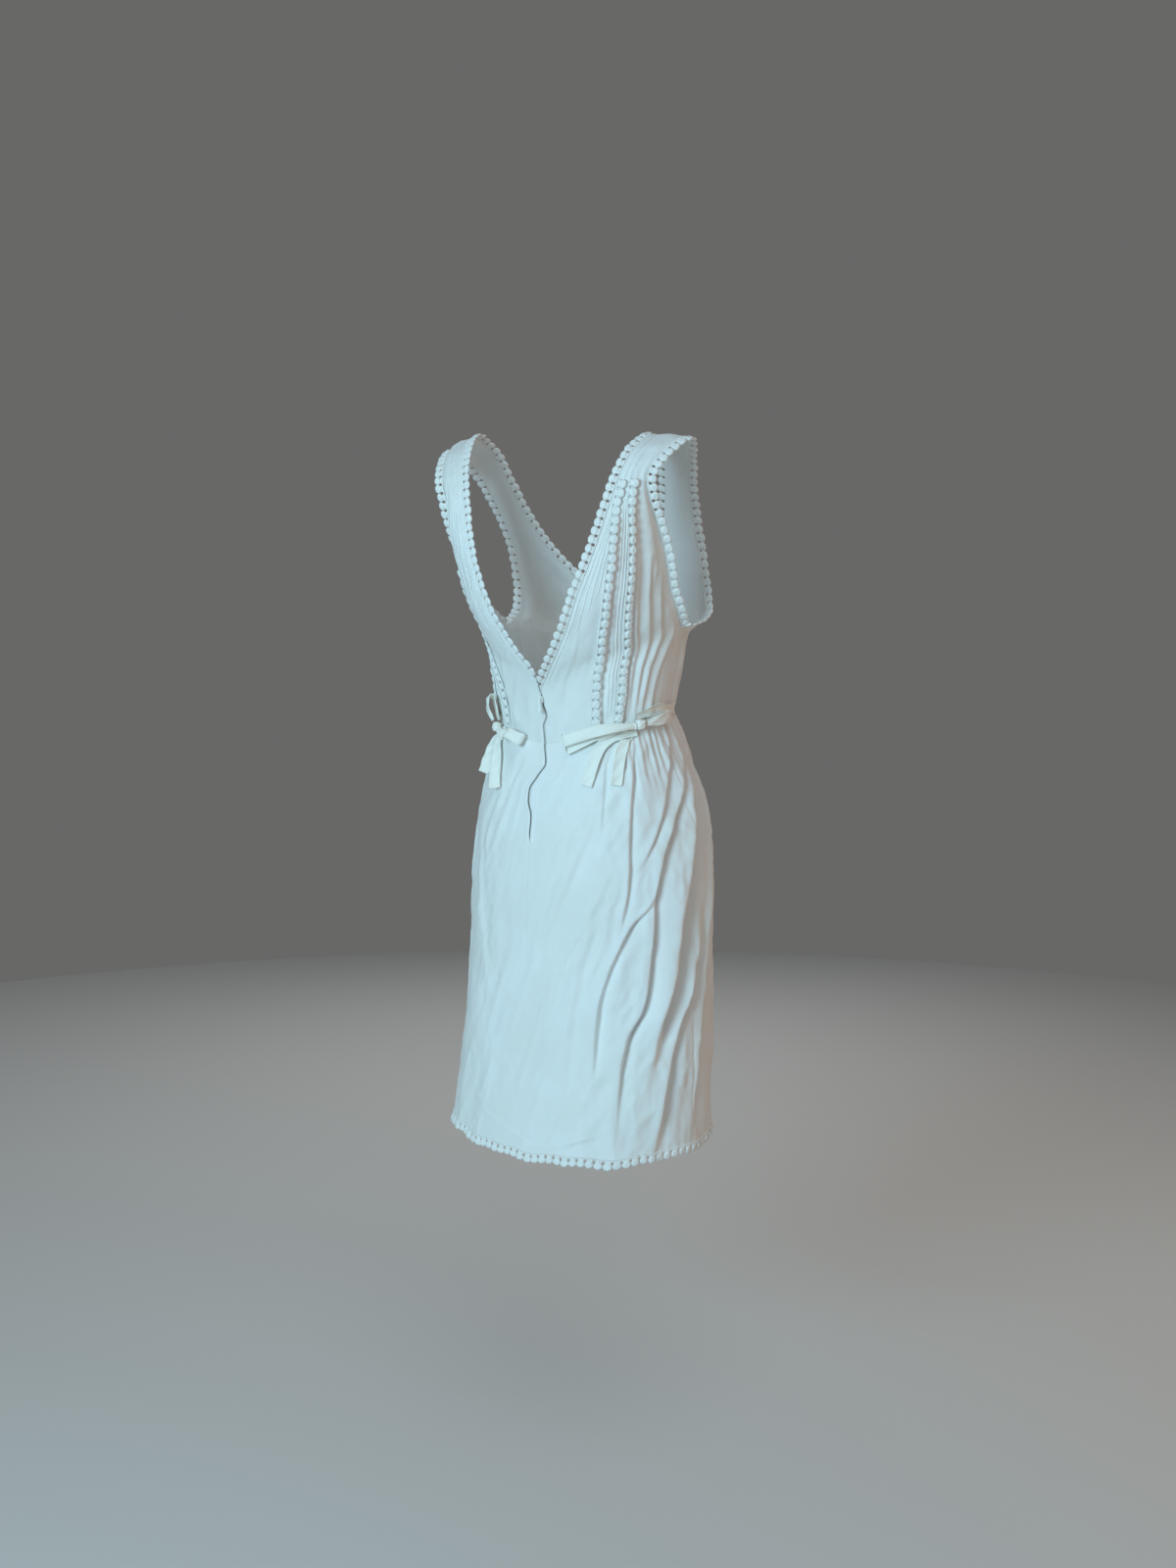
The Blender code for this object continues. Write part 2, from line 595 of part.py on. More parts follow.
def skirt_columns(first, last, count, t_rows):
    """Places round the skirt for each row, held back from the seams at both ends and from the zip."""
    u = np.repeat(np.linspace(first, last, count)[None, :], len(t_rows), 0)
    slit = np.where(np.array(t_rows) <= ZIP_END, ZIP_SLIT / QUARTER, SEAM / 2 / QUARTER)
    u[:, 0] += np.where(first == 0, slit, SEAM / 2 / QUARTER)
    u[:, -1] -= np.where(last == 0, slit, SEAM / 2 / QUARTER)
    return u


def skirt_panel(name, first, last, count, collection):
    t = np.array(SKIRT_ROWS)
    t[0] += ROW_GAP
    u = skirt_columns(first, last, count, SKIRT_ROWS)
    t = np.repeat(t[:, None], count, 1)
    panel(name, skirt(u, t), skirt_normal(u, t), True, collection, COTTON)


def hem_trim(collection):
    """Scalloped trim that hangs from the hem, all round from the right side seam."""
    u = np.concatenate([np.linspace(-1, 1, 41), np.linspace(1, 3, 33)[1:]])
    u[[0, -1]] += np.array([1, -1]) * SEAM / 2 / QUARTER
    t = np.ones_like(u)
    points = skirt(u, t)
    away, up = edge_frame(points, skirt_normal(u, t), np.array([[0, 0, -1.0]]))
    scalloped("hem_trim", points, away, up, collection, CROCHET)


def ribbon(name, centre, across, collection):
    """A flat tie along a line of points, with a wall on both sides of it."""
    tangent = unit(np.gradient(centre, axis=0))
    half = unit(across) * TIE_WIDTH / 2
    up = unit(np.cross(tangent, half)) * TIE_THICK / 2
    grid = np.stack([centre - half, centre + half], 1)
    lift = np.stack([up, up], 1)
    index = np.arange(2 * len(centre)).reshape(-1, 2).tolist()
    return wall(name, (grid + lift).reshape(-1, 3), (grid - lift).reshape(-1, 3), grid_faces(index, False),
                collection, TIE)


def laid_tie(name, rows, collection, steps):
    """A tie near the cloth. Rows: place along, round the body, up from the waist, lift, turn."""
    keys = np.linspace(0, 1, steps)
    table = lookup(rows, keys)
    centre = around(table[:, 1], table[:, 2], table[:, 3])
    normal = around_normal(table[:, 1], table[:, 2])
    tangent = unit(np.gradient(centre, axis=0))
    turn = table[:, 4:5]
    across = unit(np.cross(normal, tangent)) * (1 - turn) + np.array(TAIL_ACROSS) * turn
    ribbon(name, centre, across - tangent * (across * tangent).sum(-1, keepdims=True), collection)


def tie_loop(name, start, end, lift, height, arch, fan, collection):
    """A bow's loop: out along the cloth, round its end and back above itself. Ends: round, up."""
    near = around(np.array(start[0]), np.array(start[1]))
    chord = around(np.array(end[0]), np.array(end[1])) - near
    length = np.linalg.norm(chord)
    radius = height / 2
    out = np.linspace(0, length - radius, 5)
    turn = np.radians(np.linspace(-90, 90, 7))
    along = np.concatenate([out[:-1], length - radius + radius * np.cos(turn), out[-2::-1]]) / length
    up = np.concatenate([0 * out[:-1], radius + radius * np.sin(turn), height + 0 * out[-2::-1]])
    up += LOOP_BELLY * np.sin(np.pi * along) * np.where(up > radius, 1, 0.2)
    rise = start[1] + (end[1] - start[1]) * along + arch * np.sin(np.pi * along)
    layer = np.clip((up / radius - FAN_START) / (FAN_END - FAN_START), 0, 1)
    rise += fan * along * (2 * layer - 1)
    centre = around(start[0] + (end[0] - start[0]) * along, rise, lift + up)
    normal = around_normal(np.array((start[0] + end[0]) / 2), np.array((start[1] + end[1]) / 2))
    ribbon(name, centre, np.repeat(np.cross(normal, chord)[None, :], len(centre), 0), collection)


def frame_at(u, rise, lift):
    """Place and axes on the posed cloth: x round the body, y out from it, z up."""
    at = posed(around(np.array(u), np.array(rise), np.array(lift)))
    out = posed(around(np.array(u), np.array(rise), np.array(lift + 0.001))) - at
    out = Vector((out[0], out[1], 0)).normalized()
    up = Vector((0, 0, 1))
    side = out.cross(up)
    turn = Matrix((side, out, up)).transposed().to_4x4()
    return Matrix.Translation(Vector(at)) @ turn


def block(name, size, bevel, matrix, collection, look):
    mesh = bpy.data.meshes.new(name)
    build = bmesh.new()
    bmesh.ops.create_cube(build, size=1.0)
    bmesh.ops.scale(build, vec=size, verts=build.verts)
    build.to_mesh(mesh)
    build.free()
    made = add_object(name, mesh, collection, look)
    made.matrix_world = matrix
    if bevel:
        edge = made.modifiers.new("edge", "BEVEL")
        edge.width = bevel
        edge.segments = 2
    return made


def rod(name, radius, length, sides, matrix, collection, look):
    """A round bar along x."""
    mesh = bpy.data.meshes.new(name)
    build = bmesh.new()
    bmesh.ops.create_cone(build, cap_ends=True, segments=sides, radius1=radius, radius2=radius, depth=length,
                          matrix=Matrix.Rotation(math.pi / 2, 4, "Y"))
    build.to_mesh(mesh)
    build.free()
    made = add_object(name, mesh, collection, look)
    made.matrix_world = matrix
    return made


def combine(made, tool, operation, parent):
    tool.parent = parent
    cut = made.modifiers.new(tool.name, "BOOLEAN")
    cut.operation = operation
    cut.object = tool
    tool.hide_render = True
    tool.display_type = "WIRE"


COTTON = ((0.84, 0.87, 0.86), 0.85, 0.0)
CROCHET = ((0.90, 0.92, 0.91), 0.90, 0.0)
TIE = ((0.86, 0.86, 0.80), 0.85, 0.0)
ZIP_CLOTH = ((0.80, 0.82, 0.80), 0.90, 0.0)
ZIP_METAL = ((0.82, 0.83, 0.80), 0.40, 0.0)

BACK_COLUMNS = (0, 0.10, 0.20, 0.30, 0.40, 0.50, 0.56, 0.61, 0.66, 0.71, 0.76, 0.82, 0.88, 0.94, 1)
PLAIN_COLUMNS = (0, 0.14, 0.28, 0.41, 0.53, 0.64, 0.74, 0.83, 0.92, 1)
SKIRT_ROWS = (0, 0.035, 0.08, 0.14, 0.21, 0.29, 0.38, 0.48, 0.59, 0.70, 0.80, 0.90, 1)
SIDES = ((RIGHT, "right"), (LEFT, "left"))


def build_bodice(collection):
    """Two backs, one front joined down its centre, and the crochet strips that lie on them."""
    front = {side: bodice_grid(side, SHOULDER, 2.0, PLAIN_COLUMNS) for side, word in SIDES}
    for side, word in SIDES:
        back = bodice_grid(side, 0.0, SHOULDER, BACK_COLUMNS if side == RIGHT else PLAIN_COLUMNS)
        panel("bodice_back_" + word, back["points"], back["normals"], side == RIGHT, collection, COTTON)
        for column in (1, 2):
            crochet_strip(f"strip_{word}_{column}", side, back, column, collection)
    rows, columns = front[LEFT]["across"].shape
    left = np.arange(rows * columns).reshape(rows, columns)
    right = left + rows * columns
    below_neck = front[LEFT]["rows"] >= FRONT_V - SAME
    right[below_neck, 0] = left[below_neck, 0]
    faces = grid_faces(left.tolist(), False) + grid_faces(right.tolist(), True)
    outer = np.concatenate([front[side]["points"].reshape(-1, 3) for side in (LEFT, RIGHT)])
    normal = np.concatenate([front[side]["normals"].reshape(-1, 3) for side in (LEFT, RIGHT)])
    used = sorted({k for face in faces for k in face})
    order = {k: i for i, k in enumerate(used)}
    faces = [tuple(order[k] for k in face) for face in faces]
    wall("bodice_front", outer[used], (outer - normal * WALL)[used], faces, collection, COTTON)


def build_skirt(collection):
    skirt_panel("skirt_back_right", -1, 0, 27, collection)
    skirt_panel("skirt_back_left", 0, 1, 15, collection)
    skirt_panel("skirt_front", 1, 3, 33, collection)
    hem_trim(collection)


def build_trims(collection):
    for side, word in SIDES:
        scalloped("neck_trim_" + word, *neck_edge(side), collection, CROCHET, gap=2 * SEAM, keep_side=side)
        scalloped("armhole_trim_" + word, *armhole_edge(side), collection, CROCHET, gap=2 * SEAM,
                  number=ARMHOLE_SCALLOPS)


# The two bows. Knot: place round the body, up from the waist. Loops: round and up of the far end, lift of
# the lower layer, height of the loop, how far it arches upwards, how far its two layers fan out, its gap to
# the knot, and whether it starts beside it (0) or above it (1). Tails and bands: place along, round, up,
# lift, turn from along the cloth to across it.
BOWS = (
    ("right", (-0.745, 0.004),
     ((-0.17, -0.006, 0.0070, 0.0060, 0.0050, 0.0045, 0.0008, 0),
      (-1.04, 0.004, 0.0070, 0.0060, 0.0000, 0.0010, 0.0008, 0)),
     (((0, -0.725, -0.0080, 0.0034, 0), (0.30, -0.53, -0.0060, 0.0044, 0), (0.50, -0.42, -0.0165, 0.0038, 0),
       (0.76, -0.355, -0.042, 0.0036, 0), (1, -0.32, -0.0625, 0.0034, 0)),
      ((0, -0.690, -0.0085, 0.0016, 0), (0.22, -0.63, -0.0130, 0.0016, 0), (0.50, -0.565, -0.031, 0.0025, 0),
       (0.80, -0.53, -0.053, 0.0034, 0), (1, -0.513, -0.066, 0.0036, 0))),
     ((0, -1.30, 0.0125, 0.0013, 0), (0.5, -1.02, 0.014, 0.0034, 0), (1, -0.72, 0.0135, 0.0030, 0))),
    ("left", (0.470, 0.003),
     ((0.14, -0.004, 0.0070, 0.0060, 0.0000, 0.0015, 0.0016, 0),
      (0.53, 0.038, 0.0070, 0.0080, 0.0000, 0.0000, 0.0019, 1)),
     (((0, 0.500, -0.0060, 0.0016, 0), (0.35, 0.535, -0.026, 0.0058, 0.35), (1, 0.490, -0.064, 0.0095, 0.8)),
      ((0, 0.450, -0.0040, 0.0031, 0), (0.40, 0.380, -0.034, 0.0072, 0.5), (1, 0.280, -0.074, 0.0085, 0.9))),
     ((0, 1.25, 0.0125, 0.0013, 0), (0.5, 0.92, 0.014, 0.0034, 0), (1, 0.515, 0.0125, 0.0053, 0))),
)
TAIL_ACROSS = (-0.81, -0.586, 0.0)
KNOT = (0.0125, 0.0110, 0.0130)
KNOT_LIFT = 0.0050
LOOP_BELLY = 0.0030
FAN_START, FAN_END = 0.2, 1.8
TAIL_STEPS, BAND_STEPS = 12, 9


def build_bows(collection):
    """Two waist ties, each sewn into a side seam and tied in a bow beside the zip."""
    for word, knot, loops, tails, band in BOWS:
        block("knot_" + word, KNOT, 0.0022, frame_at(*knot, KNOT_LIFT + KNOT[1] / 2), collection, TIE)
        nearby = around(np.array(knot[0]) + np.array([-0.01, 0.01]), np.array(knot[1]))
        place_a_metre = 0.02 / np.linalg.norm(nearby[1] - nearby[0])
        for number, (u, rise, *shape, gap, above) in enumerate(loops, 1):
            reach = (KNOT[0] / 2 + gap) * place_a_metre * (1 - above)
            start = (knot[0] + math.copysign(reach, u - knot[0]), knot[1] + (KNOT[2] / 2 + gap) * above)
            tie_loop(f"loop_{word}_{number}", start, (u, rise), *shape, collection)
        for number, rows in enumerate(tails, 1):
            laid_tie(f"tail_{word}_{number}", rows, collection, TAIL_STEPS)
        laid_tie("tie_" + word, band, collection, BAND_STEPS)


# The zip: where its slider stops at the top, above the waist seam, and the sizes of slider and pull.
SLIDER_RISE = 0.0565
SLIDER_LIFT = 0.0011
SLIDER = (0.0062, 0.0016, 0.0080)
PULL = (0.0046, 0.0011, 0.0190)
PIN_RADIUS = 0.00045
PIN_UP = 0.0022
EYE_IN, EYE_OUT = 0.00080, 0.00145
EYE_WIDTH = 0.0030
EAR = (0.0007, 0.0030, 0.0026)
EAR_GAP, EAR_SINK = 0.0003, 0.0004


def build_zip(collection, cutters):
    """A concealed zip: tape behind the slit, slider at the top of it, and the hanging pull tab."""
    rise = np.concatenate([np.linspace(TAPE_TOP, 0.003, 6), np.linspace(-0.003, -SKIRT_LENGTH * ZIP_END, 7)])
    girth = lookup(SKIRT, np.clip(-rise / SKIRT_LENGTH, 0, 1))[:, 3]
    u = (TAPE_WIDTH / 2 / (RING_START * girth))[:, None] * np.array([-1.0, 0.0, 1.0])
    rise = np.repeat(rise[:, None], 3, 1)
    points = around(u, rise) - around_normal(u, rise) * (WALL + TAPE_GAP)
    panel("zip_tape", points, around_normal(u, rise), True, collection, ZIP_CLOTH, TAPE_THICK)

    hinge = bpy.data.objects.new("pull_hinge", None)
    collection.objects.link(hinge)
    hinge.matrix_world = frame_at(0.0, SLIDER_RISE, SLIDER_LIFT + SLIDER[1] + PIN_UP)
    back = -PIN_UP - SLIDER[1] / 2
    slider = block("zip_slider", SLIDER, 0, Matrix.Translation((0, back, PIN_UP - SLIDER[2] / 2)),
                   collection, ZIP_METAL)
    for end in (-1, 1):
        place = ((EYE_WIDTH / 2 + EAR_GAP + EAR[0] / 2) * end, (PIN_UP - EAR[1]) / 2 - EAR_SINK, 0)
        ear = block("ear", EAR, 0, Matrix.Translation(place), cutters, ZIP_METAL)
        combine(slider, ear, "UNION", hinge)
    pin = rod("pin", PIN_RADIUS, EYE_WIDTH + 2 * EAR[0], 12, Matrix(), cutters, ZIP_METAL)
    combine(slider, pin, "UNION", hinge)
    pull = block("zip_pull", PULL, 0, Matrix.Translation((0, 0, -EYE_OUT * 0.75 - PULL[2] / 2)),
                 collection, ZIP_METAL)
    for corner in pull.data.vertices:
        if corner.co.z > 0:
            corner.co.x *= EYE_WIDTH / PULL[0]
    combine(pull, rod("eye", EYE_OUT, EYE_WIDTH, 16, Matrix(), cutters, ZIP_METAL), "UNION", hinge)
    hole = rod("eye_hole", EYE_IN, 2 * EYE_WIDTH, 16, Matrix(), cutters, ZIP_METAL)
    combine(pull, hole, "DIFFERENCE", hinge)
    slider.parent = pull.parent = hinge


def clear_scene():
    for old in list(bpy.data.objects):
        bpy.data.objects.remove(old, do_unlink=True)


def main():
    clear_scene()
    collection = bpy.data.collections.new("wedding_dress")
    cutters = bpy.data.collections.new("cutters")
    bpy.context.scene.collection.children.link(collection)
    bpy.context.scene.collection.children.link(cutters)
    build_bodice(collection)
    build_skirt(collection)
    build_trims(collection)
    build_bows(collection)
    build_zip(collection, cutters)


main()
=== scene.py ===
import itertools
import json
import math

import bpy
import numpy as np
from mathutils import Matrix, Vector


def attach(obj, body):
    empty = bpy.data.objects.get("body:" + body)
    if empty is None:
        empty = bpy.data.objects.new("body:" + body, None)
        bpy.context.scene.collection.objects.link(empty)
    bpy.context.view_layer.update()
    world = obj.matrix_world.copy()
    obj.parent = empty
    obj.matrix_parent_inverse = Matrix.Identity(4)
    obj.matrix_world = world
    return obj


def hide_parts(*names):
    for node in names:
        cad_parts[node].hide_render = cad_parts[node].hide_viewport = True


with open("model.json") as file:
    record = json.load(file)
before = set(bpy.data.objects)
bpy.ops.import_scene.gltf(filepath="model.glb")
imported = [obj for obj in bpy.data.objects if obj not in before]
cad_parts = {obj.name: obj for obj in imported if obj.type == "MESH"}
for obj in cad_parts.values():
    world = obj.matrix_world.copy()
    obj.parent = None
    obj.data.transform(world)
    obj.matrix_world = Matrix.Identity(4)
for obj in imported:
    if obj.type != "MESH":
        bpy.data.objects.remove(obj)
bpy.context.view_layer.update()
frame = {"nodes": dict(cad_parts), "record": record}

# Metres, where nothing else is said. The zip ends at a place down the skirt.
MM = 0.001
SEAM = 0.0003
CLOTH = 0.0008
SCALLOP = 0.0118
STRIP_WIDTH = 0.0130
TIE_WIDTH = 0.0150
TIE_THICK = 0.0011
ZIP_END = 0.25
ZIP_OPEN = 0.0011
SHOULDER_SEAM = 0.0008

# Crochet: how far the trims lie above the cloth, how far their scallops reach, heights of trims and strips.
TRIM_LIFT, TRIM_REACH, TRIM_HEIGHT, STRIP_HEIGHT = 0.0002, 0.0125, 0.0022, 0.0026

# How much repeated units differ: width, height, shift along the edge and tilt.
UNIT_WIDE, UNIT_HIGH, UNIT_SHIFT, UNIT_TILT = 0.06, 0.12, 0.0002, math.radians(7)

RIGHT, LEFT = -1, 1
SIDES = ((RIGHT, "right"), (LEFT, "left"))
BACK_V, BACK_ARM, SHOULDER, FRONT_V, FRONT_ARM = 0.17, 0.24, 1.00, 1.56, 1.66

# Each row of the bodice is a curve from the centre or neck edge to the side or armhole edge. It runs from
# the back waist (0) over the shoulder (1) to the front waist (2). Columns: place, then x, y and drop of
# the inner end, x, y and drop of the outer end, how far the curve bulges towards a square corner, and how
# much nearer the centre the neck edge lies on the left side. Lengths in millimetres.
BODICE = np.array((
    (0, 0, 88, 405, 120, 0, 372, 0.95, 0),
    (0.09, 0, 90, 373, 124, -6, 333, 0.95, 0),
    (0.17, 0, 94, 338, 129, -18, 294, 0.94, 0),
    (0.24, 13, 100, 317, 136, -36, 254, 0.84, 6),
    (0.3, 26, 106.5, 300, 140, -26, 239, 0.76, 9),
    (0.36, 38, 111, 283, 143, -18, 226, 0.68, 8),
    (0.45, 58.5, 114.5, 245, 143, -10, 209, 0.62, 5),
    (0.54, 73.5, 110, 209, 145.5, 0, 184, 0.58, 4),
    (0.63, 87, 102, 174, 148, 11, 156, 0.56, 4),
    (0.72, 98, 92.5, 141, 147.5, 26, 125, 0.56, 5),
    (0.81, 107.5, 79.5, 100, 147, 45, 92, 0.58, 5),
    (0.89, 116, 67, 60, 149, 55, 64, 0.52, 4),
    (0.95, 124.5, 41, 22, 163, 33, 33, 0.5, 2),
    (1, 133.5, -1, 1, 176, -1, 15, 0.5, 0),
    (1.05, 128, -42, 21, 164, -38, 33, 0.5, 0),
    (1.12, 118, -71, 63, 150, -72, 72, 0.5, 0),
    (1.21, 104, -94, 108, 142, -99, 115, 0.6, 0),
    (1.31, 83, -113, 152, 140, -113, 160, 0.7, 0),
    (1.41, 51, -126, 193, 141, -115, 200, 0.8, 0),
    (1.5, 16, -131, 225, 144.5, -103, 230, 0.88, 0),
    (1.56, 0, -132, 243, 146, -82, 243, 0.92, 0),
    (1.61, 0, -131, 255, 142, -58, 250, 0.94, 0),
    (1.66, 0, -130, 268, 136, -36, 254, 0.95, 0),
    (1.75, 0, -124, 295, 129, -18, 294, 0.95, 0),
    (1.87, 0, -111, 328, 124, -6, 333, 0.95, 0),
    (2, 0, -100, 355, 120, 0, 372, 0.95, 0),
)) * (1, MM, MM, MM, MM, MM, MM, 1, MM)

# Rings of the skirt from waist (0) to hem (1). Columns: place, y and drop at the centre back, x and drop
# at the side seam, y and drop at the centre front. Lengths in millimetres.
SKIRT = np.array((
    (0, 88, 405, 120, 372, -100, 355),
    (0.06, 98, 436, 132, 404, -106, 388),
    (0.14, 112, 478, 148, 448, -112, 433),
    (0.25, 127, 535, 164, 508, -118, 494),
    (0.38, 132, 603, 172, 580, -121, 568),
    (0.55, 130, 690, 175, 672, -122, 661),
    (0.75, 131, 797, 180, 781, -125, 772),
    (1, 136, 937, 189, 922, -131, 913),
)) * (1, MM, MM, MM, MM, MM, MM)
SKIRT_BULGE = 1.0

# A quarter of the girth from the hips down, the place of the hips, and the waist's share of the quarter.
QUARTER, HIP, WAIST_QUARTER = 0.245, 0.25, 0.66

# The skirt's length, places of the bodice in a metre of cloth, and a curve's length over its straight line.
SKIRT_LENGTH, PLACES_A_METRE, CURVE_SHARE = 0.53, 2.75, 1.15

# How the worn dress leans and turns: drop, shift to the left and to the back in millimetres, then the turn
# in degrees.
POSE = np.array((
    (-30, 0, 0, 8), (80, -1, 2, 8), (200, -10, -2, 6.5), (260, -14, -15, 4), (320, -14, -25, 1),
    (400, -12, -38, -3), (530, -11, -55, -6), (750, -8, -50, -6), (950, -3, -34, -6),
)) * (MM, MM, MM, 1)

# Crochet strips on each back. Columns: place up the bodice, place across of the first and second strip.
STRIPS = {
    RIGHT: (
        (0.03, 0.385, 0.56), (0.1, 0.372, 0.568), (0.2, 0.362, 0.548), (0.36, 0.335, 0.536),
        (0.51, 0.315, 0.546), (0.64, 0.262, 0.533), (0.74, 0.215, 0.52), (0.83, 0.155, 0.49),
        (0.92, 0.18, 0.525), (0.99, 0.18, 0.57),
    ),
    LEFT: (
        (0.03, 0.345, 0.62), (0.1, 0.355, 0.66), (0.17, 0.4, 0.72), (0.24, 0.52, 0.76), (0.3, 0.62, 0.8),
        (0.36, 0.67, 0.83), (0.45, 0.7, 0.85), (0.54, 0.72, 0.86), (0.63, 0.7, 0.86), (0.72, 0.55, 0.8),
        (0.83, 0.45, 0.75), (0.99, 0.42, 0.74),
    ),
}
STRIP_TOP = {RIGHT: 0.88, LEFT: 0.58}
STRIP_RISE = {RIGHT: 0.0014, LEFT: 0.0019}

# The tuck beside each strip: depth, then its other measures, in millimetres as for the creases below.
STRIP_TUCKS = ((3.0, 1.2, 3, 12), (4.2, 1.2, 3, 12))
STRIP_GAP = 0.0015

# How the two shoulders differ. Columns: place up the bodice, how far the right strap tips outwards, how
# much nearer the centre and how much further back the left armhole edge lies, in millimetres.
UNEVEN = np.array((
    (0.24, 0, 0, 0), (0.36, 0, 0, 3), (0.45, 0, 0, 6), (0.54, 0, 0, 4), (0.63, 0, 0, 6.5),
    (0.72, 0, 0, 9), (0.81, 3, 0, 2), (0.89, 6, 1, 0), (0.95, 7, 4, 0), (1, 8, 9, 0), (1.05, 8, 6, 0),
    (1.12, 6, 2, 0), (1.21, 3, 0, 0), (1.31, 0, 0, 0),
)) * (1, MM, MM, MM)

# How the armhole trims stand away from the body. Columns: place up the bodice, outwards on the right side,
# outwards and backwards on the left side.
FLARE = (
    (0.24, 1, 0, 0), (0.33, 2, 0, 0), (0.45, 2, 0, 0), (0.56, 2, 0.3, 0), (0.66, 2, 2, 0.8),
    (0.74, 2, 3, 1), (0.85, 2, 3, 1), (0.92, 1, 2, 0.5), (0.97, 0, 0.5, 0), (1.04, 0, 0.5, 0),
    (1.12, 1.5, 1.5, 0), (1.4, 2.5, 2, 0), (1.56, 2, 2, 0), (1.66, 1, 1, 0),
)

# The armhole edge's share of the right strap's tip, and the places under the arm where its trim hangs.
TIP_SHARE = 0.2
UNDERARM_BACK, UNDERARM_FRONT = 0.31, 1.46

# How the closed zip wanders to the wearer's left or right: drop and shift in millimetres.
ZIP_SWAY = np.array((
    (330, 0), (352, -1), (367, -5), (382, 0.5), (405, 0), (430, -6.5), (447, 4), (466, 14), (480, 12.5),
    (497, 4.5), (511, 2), (545, 0),
)) * MM

# Creases of the skirt. Each has a step down that faces the right side, with soft shoulders. Columns, in
# millimetres: depth, half width of the step, reach of the shoulder before and after it. Then the crease's
# line, as places down the skirt and round it (0 centre back, 1 left and -1 right side seam, 2 centre front).
CREASES = (
    (3.4, 1.4, 11, 9, ((0, -0.71), (0.03, -0.695), (0.11, -0.645), (0.19, -0.6), (0.265, -0.58),
     (0.35, -0.57), (0.5, -0.5))),
    (1.6, 1.4, 6, 7, ((0.02, -0.52), (0.075, -0.45), (0.13, -0.43), (0.24, -0.4))),
    (3.4, 1.6, 11, 9, ((0.02, -1.07), (0.08, -1), (0.16, -0.885), (0.225, -0.795), (0.34, -0.62))),
    (6.2, 1.8, 16, 11, ((0.03, -1.21), (0.11, -1.105), (0.19, -0.97), (0.265, -0.84), (0.335, -0.77),
     (0.41, -0.73), (0.475, -0.72), (0.61, -0.685), (0.67, -0.65), (0.73, -0.57), (0.81, -0.535),
     (0.98, -0.52))),
    (4.4, 1.6, 13, 10, ((0.36, -0.76), (0.41, -0.705), (0.465, -0.575), (0.515, -0.51), (0.58, -0.445),
     (0.65, -0.4), (0.72, -0.385), (0.86, -0.375))),
    (13.5, 6.2, 19, 19, ((0.05, -1.22), (0.165, -1.12), (0.3, -1.005), (0.475, -0.915), (0.585, -0.875),
     (0.62, -0.85), (0.71, -0.77), (0.86, -0.7))),
    (10, 4.8, 16, 16, ((0.46, -1.1), (0.57, -1.03), (0.66, -0.965), (0.72, -0.895), (0.845, -0.825),
     (1.04, -0.76))),
    (9, 4.6, 16, 14, ((0.02, -1.34), (0.2, -1.27), (0.45, -1.19), (0.7, -1.09), (1.04, -1))),
    (2, 4, 16, 14, ((0.17, -0.4), (0.23, -0.335), (0.46, -0.125), (0.56, -0.06))),
    (1.2, 3.6, 14, 14, ((0.945, -0.46), (0.995, -0.16))),
    (1.2, 3.6, 14, 14, ((0.925, 0.22), (0.985, -0.14))),
    (1.4, 4, 13, 13, ((0.2, -0.22), (0.4, -0.1), (0.6, -0.03))),
    (1.8, 4, 15, 13, ((0.36, -0.44), (0.52, -0.32), (0.7, -0.25), (0.98, -0.2))),
    (1.6, 3.6, 13, 12, ((0.3, -0.5), (0.42, -0.36), (0.58, -0.18), (0.74, -0.1))),
    (1.6, 4, 14, 14, ((0.2, 0.4), (0.4, 0.32), (0.68, 0.22))),
    (1.4, 4, 14, 14, ((0.02, 0.62), (0.2, 0.56), (0.48, 0.5))),
    (2.6, 4, 16, 16, ((0.28, 0.86), (0.6, 0.78), (1.04, 0.73))),
    (4, 5, 18, 18, ((0.04, 1.14), (0.4, 1.22), (1.04, 1.28))),
    (3.4, 5, 18, 18, ((0.02, 1.44), (0.4, 1.46), (0.85, 1.49))),
    (3.4, 5, 18, 18, ((0.08, 1.8), (0.6, 1.73), (1.04, 1.7))),
    (2.4, 4, 15, 15, ((0, 2.06), (0.2, 2.08), (0.44, 2.06))),
    (4, 5, 18, 18, ((0.04, 2.28), (0.5, 2.25), (1.04, 2.26))),
    (3.6, 5, 18, 18, ((0.02, 2.56), (0.4, 2.57), (0.96, 2.6))),
)

# Soft troughs below zero and ridges above it. Columns: height and half width in millimetres, then the line.
FOLDS = (
    (-5, 14, ((0.02, -1.46), (0.6, -1.44), (0.96, -1.4))),
    (4, 16, ((0.1, -1.05), (0.3, -0.9), (0.6, -0.79), (1.04, -0.62))),
    (4, 15, ((0.25, -1.12), (0.6, -0.98), (1.04, -0.85))),
    (-4, 16, ((0.06, 1.22), (0.6, 1.28), (1.04, 1.31))),
    (-3.5, 16, ((0.04, 1.5), (0.5, 1.5), (0.8, 1.52))),
    (-3.5, 17, ((0.1, 1.76), (0.6, 1.71), (1.04, 1.68))),
    (-4, 17, ((0.06, 2.24), (0.6, 2.22), (1.04, 2.24))),
)

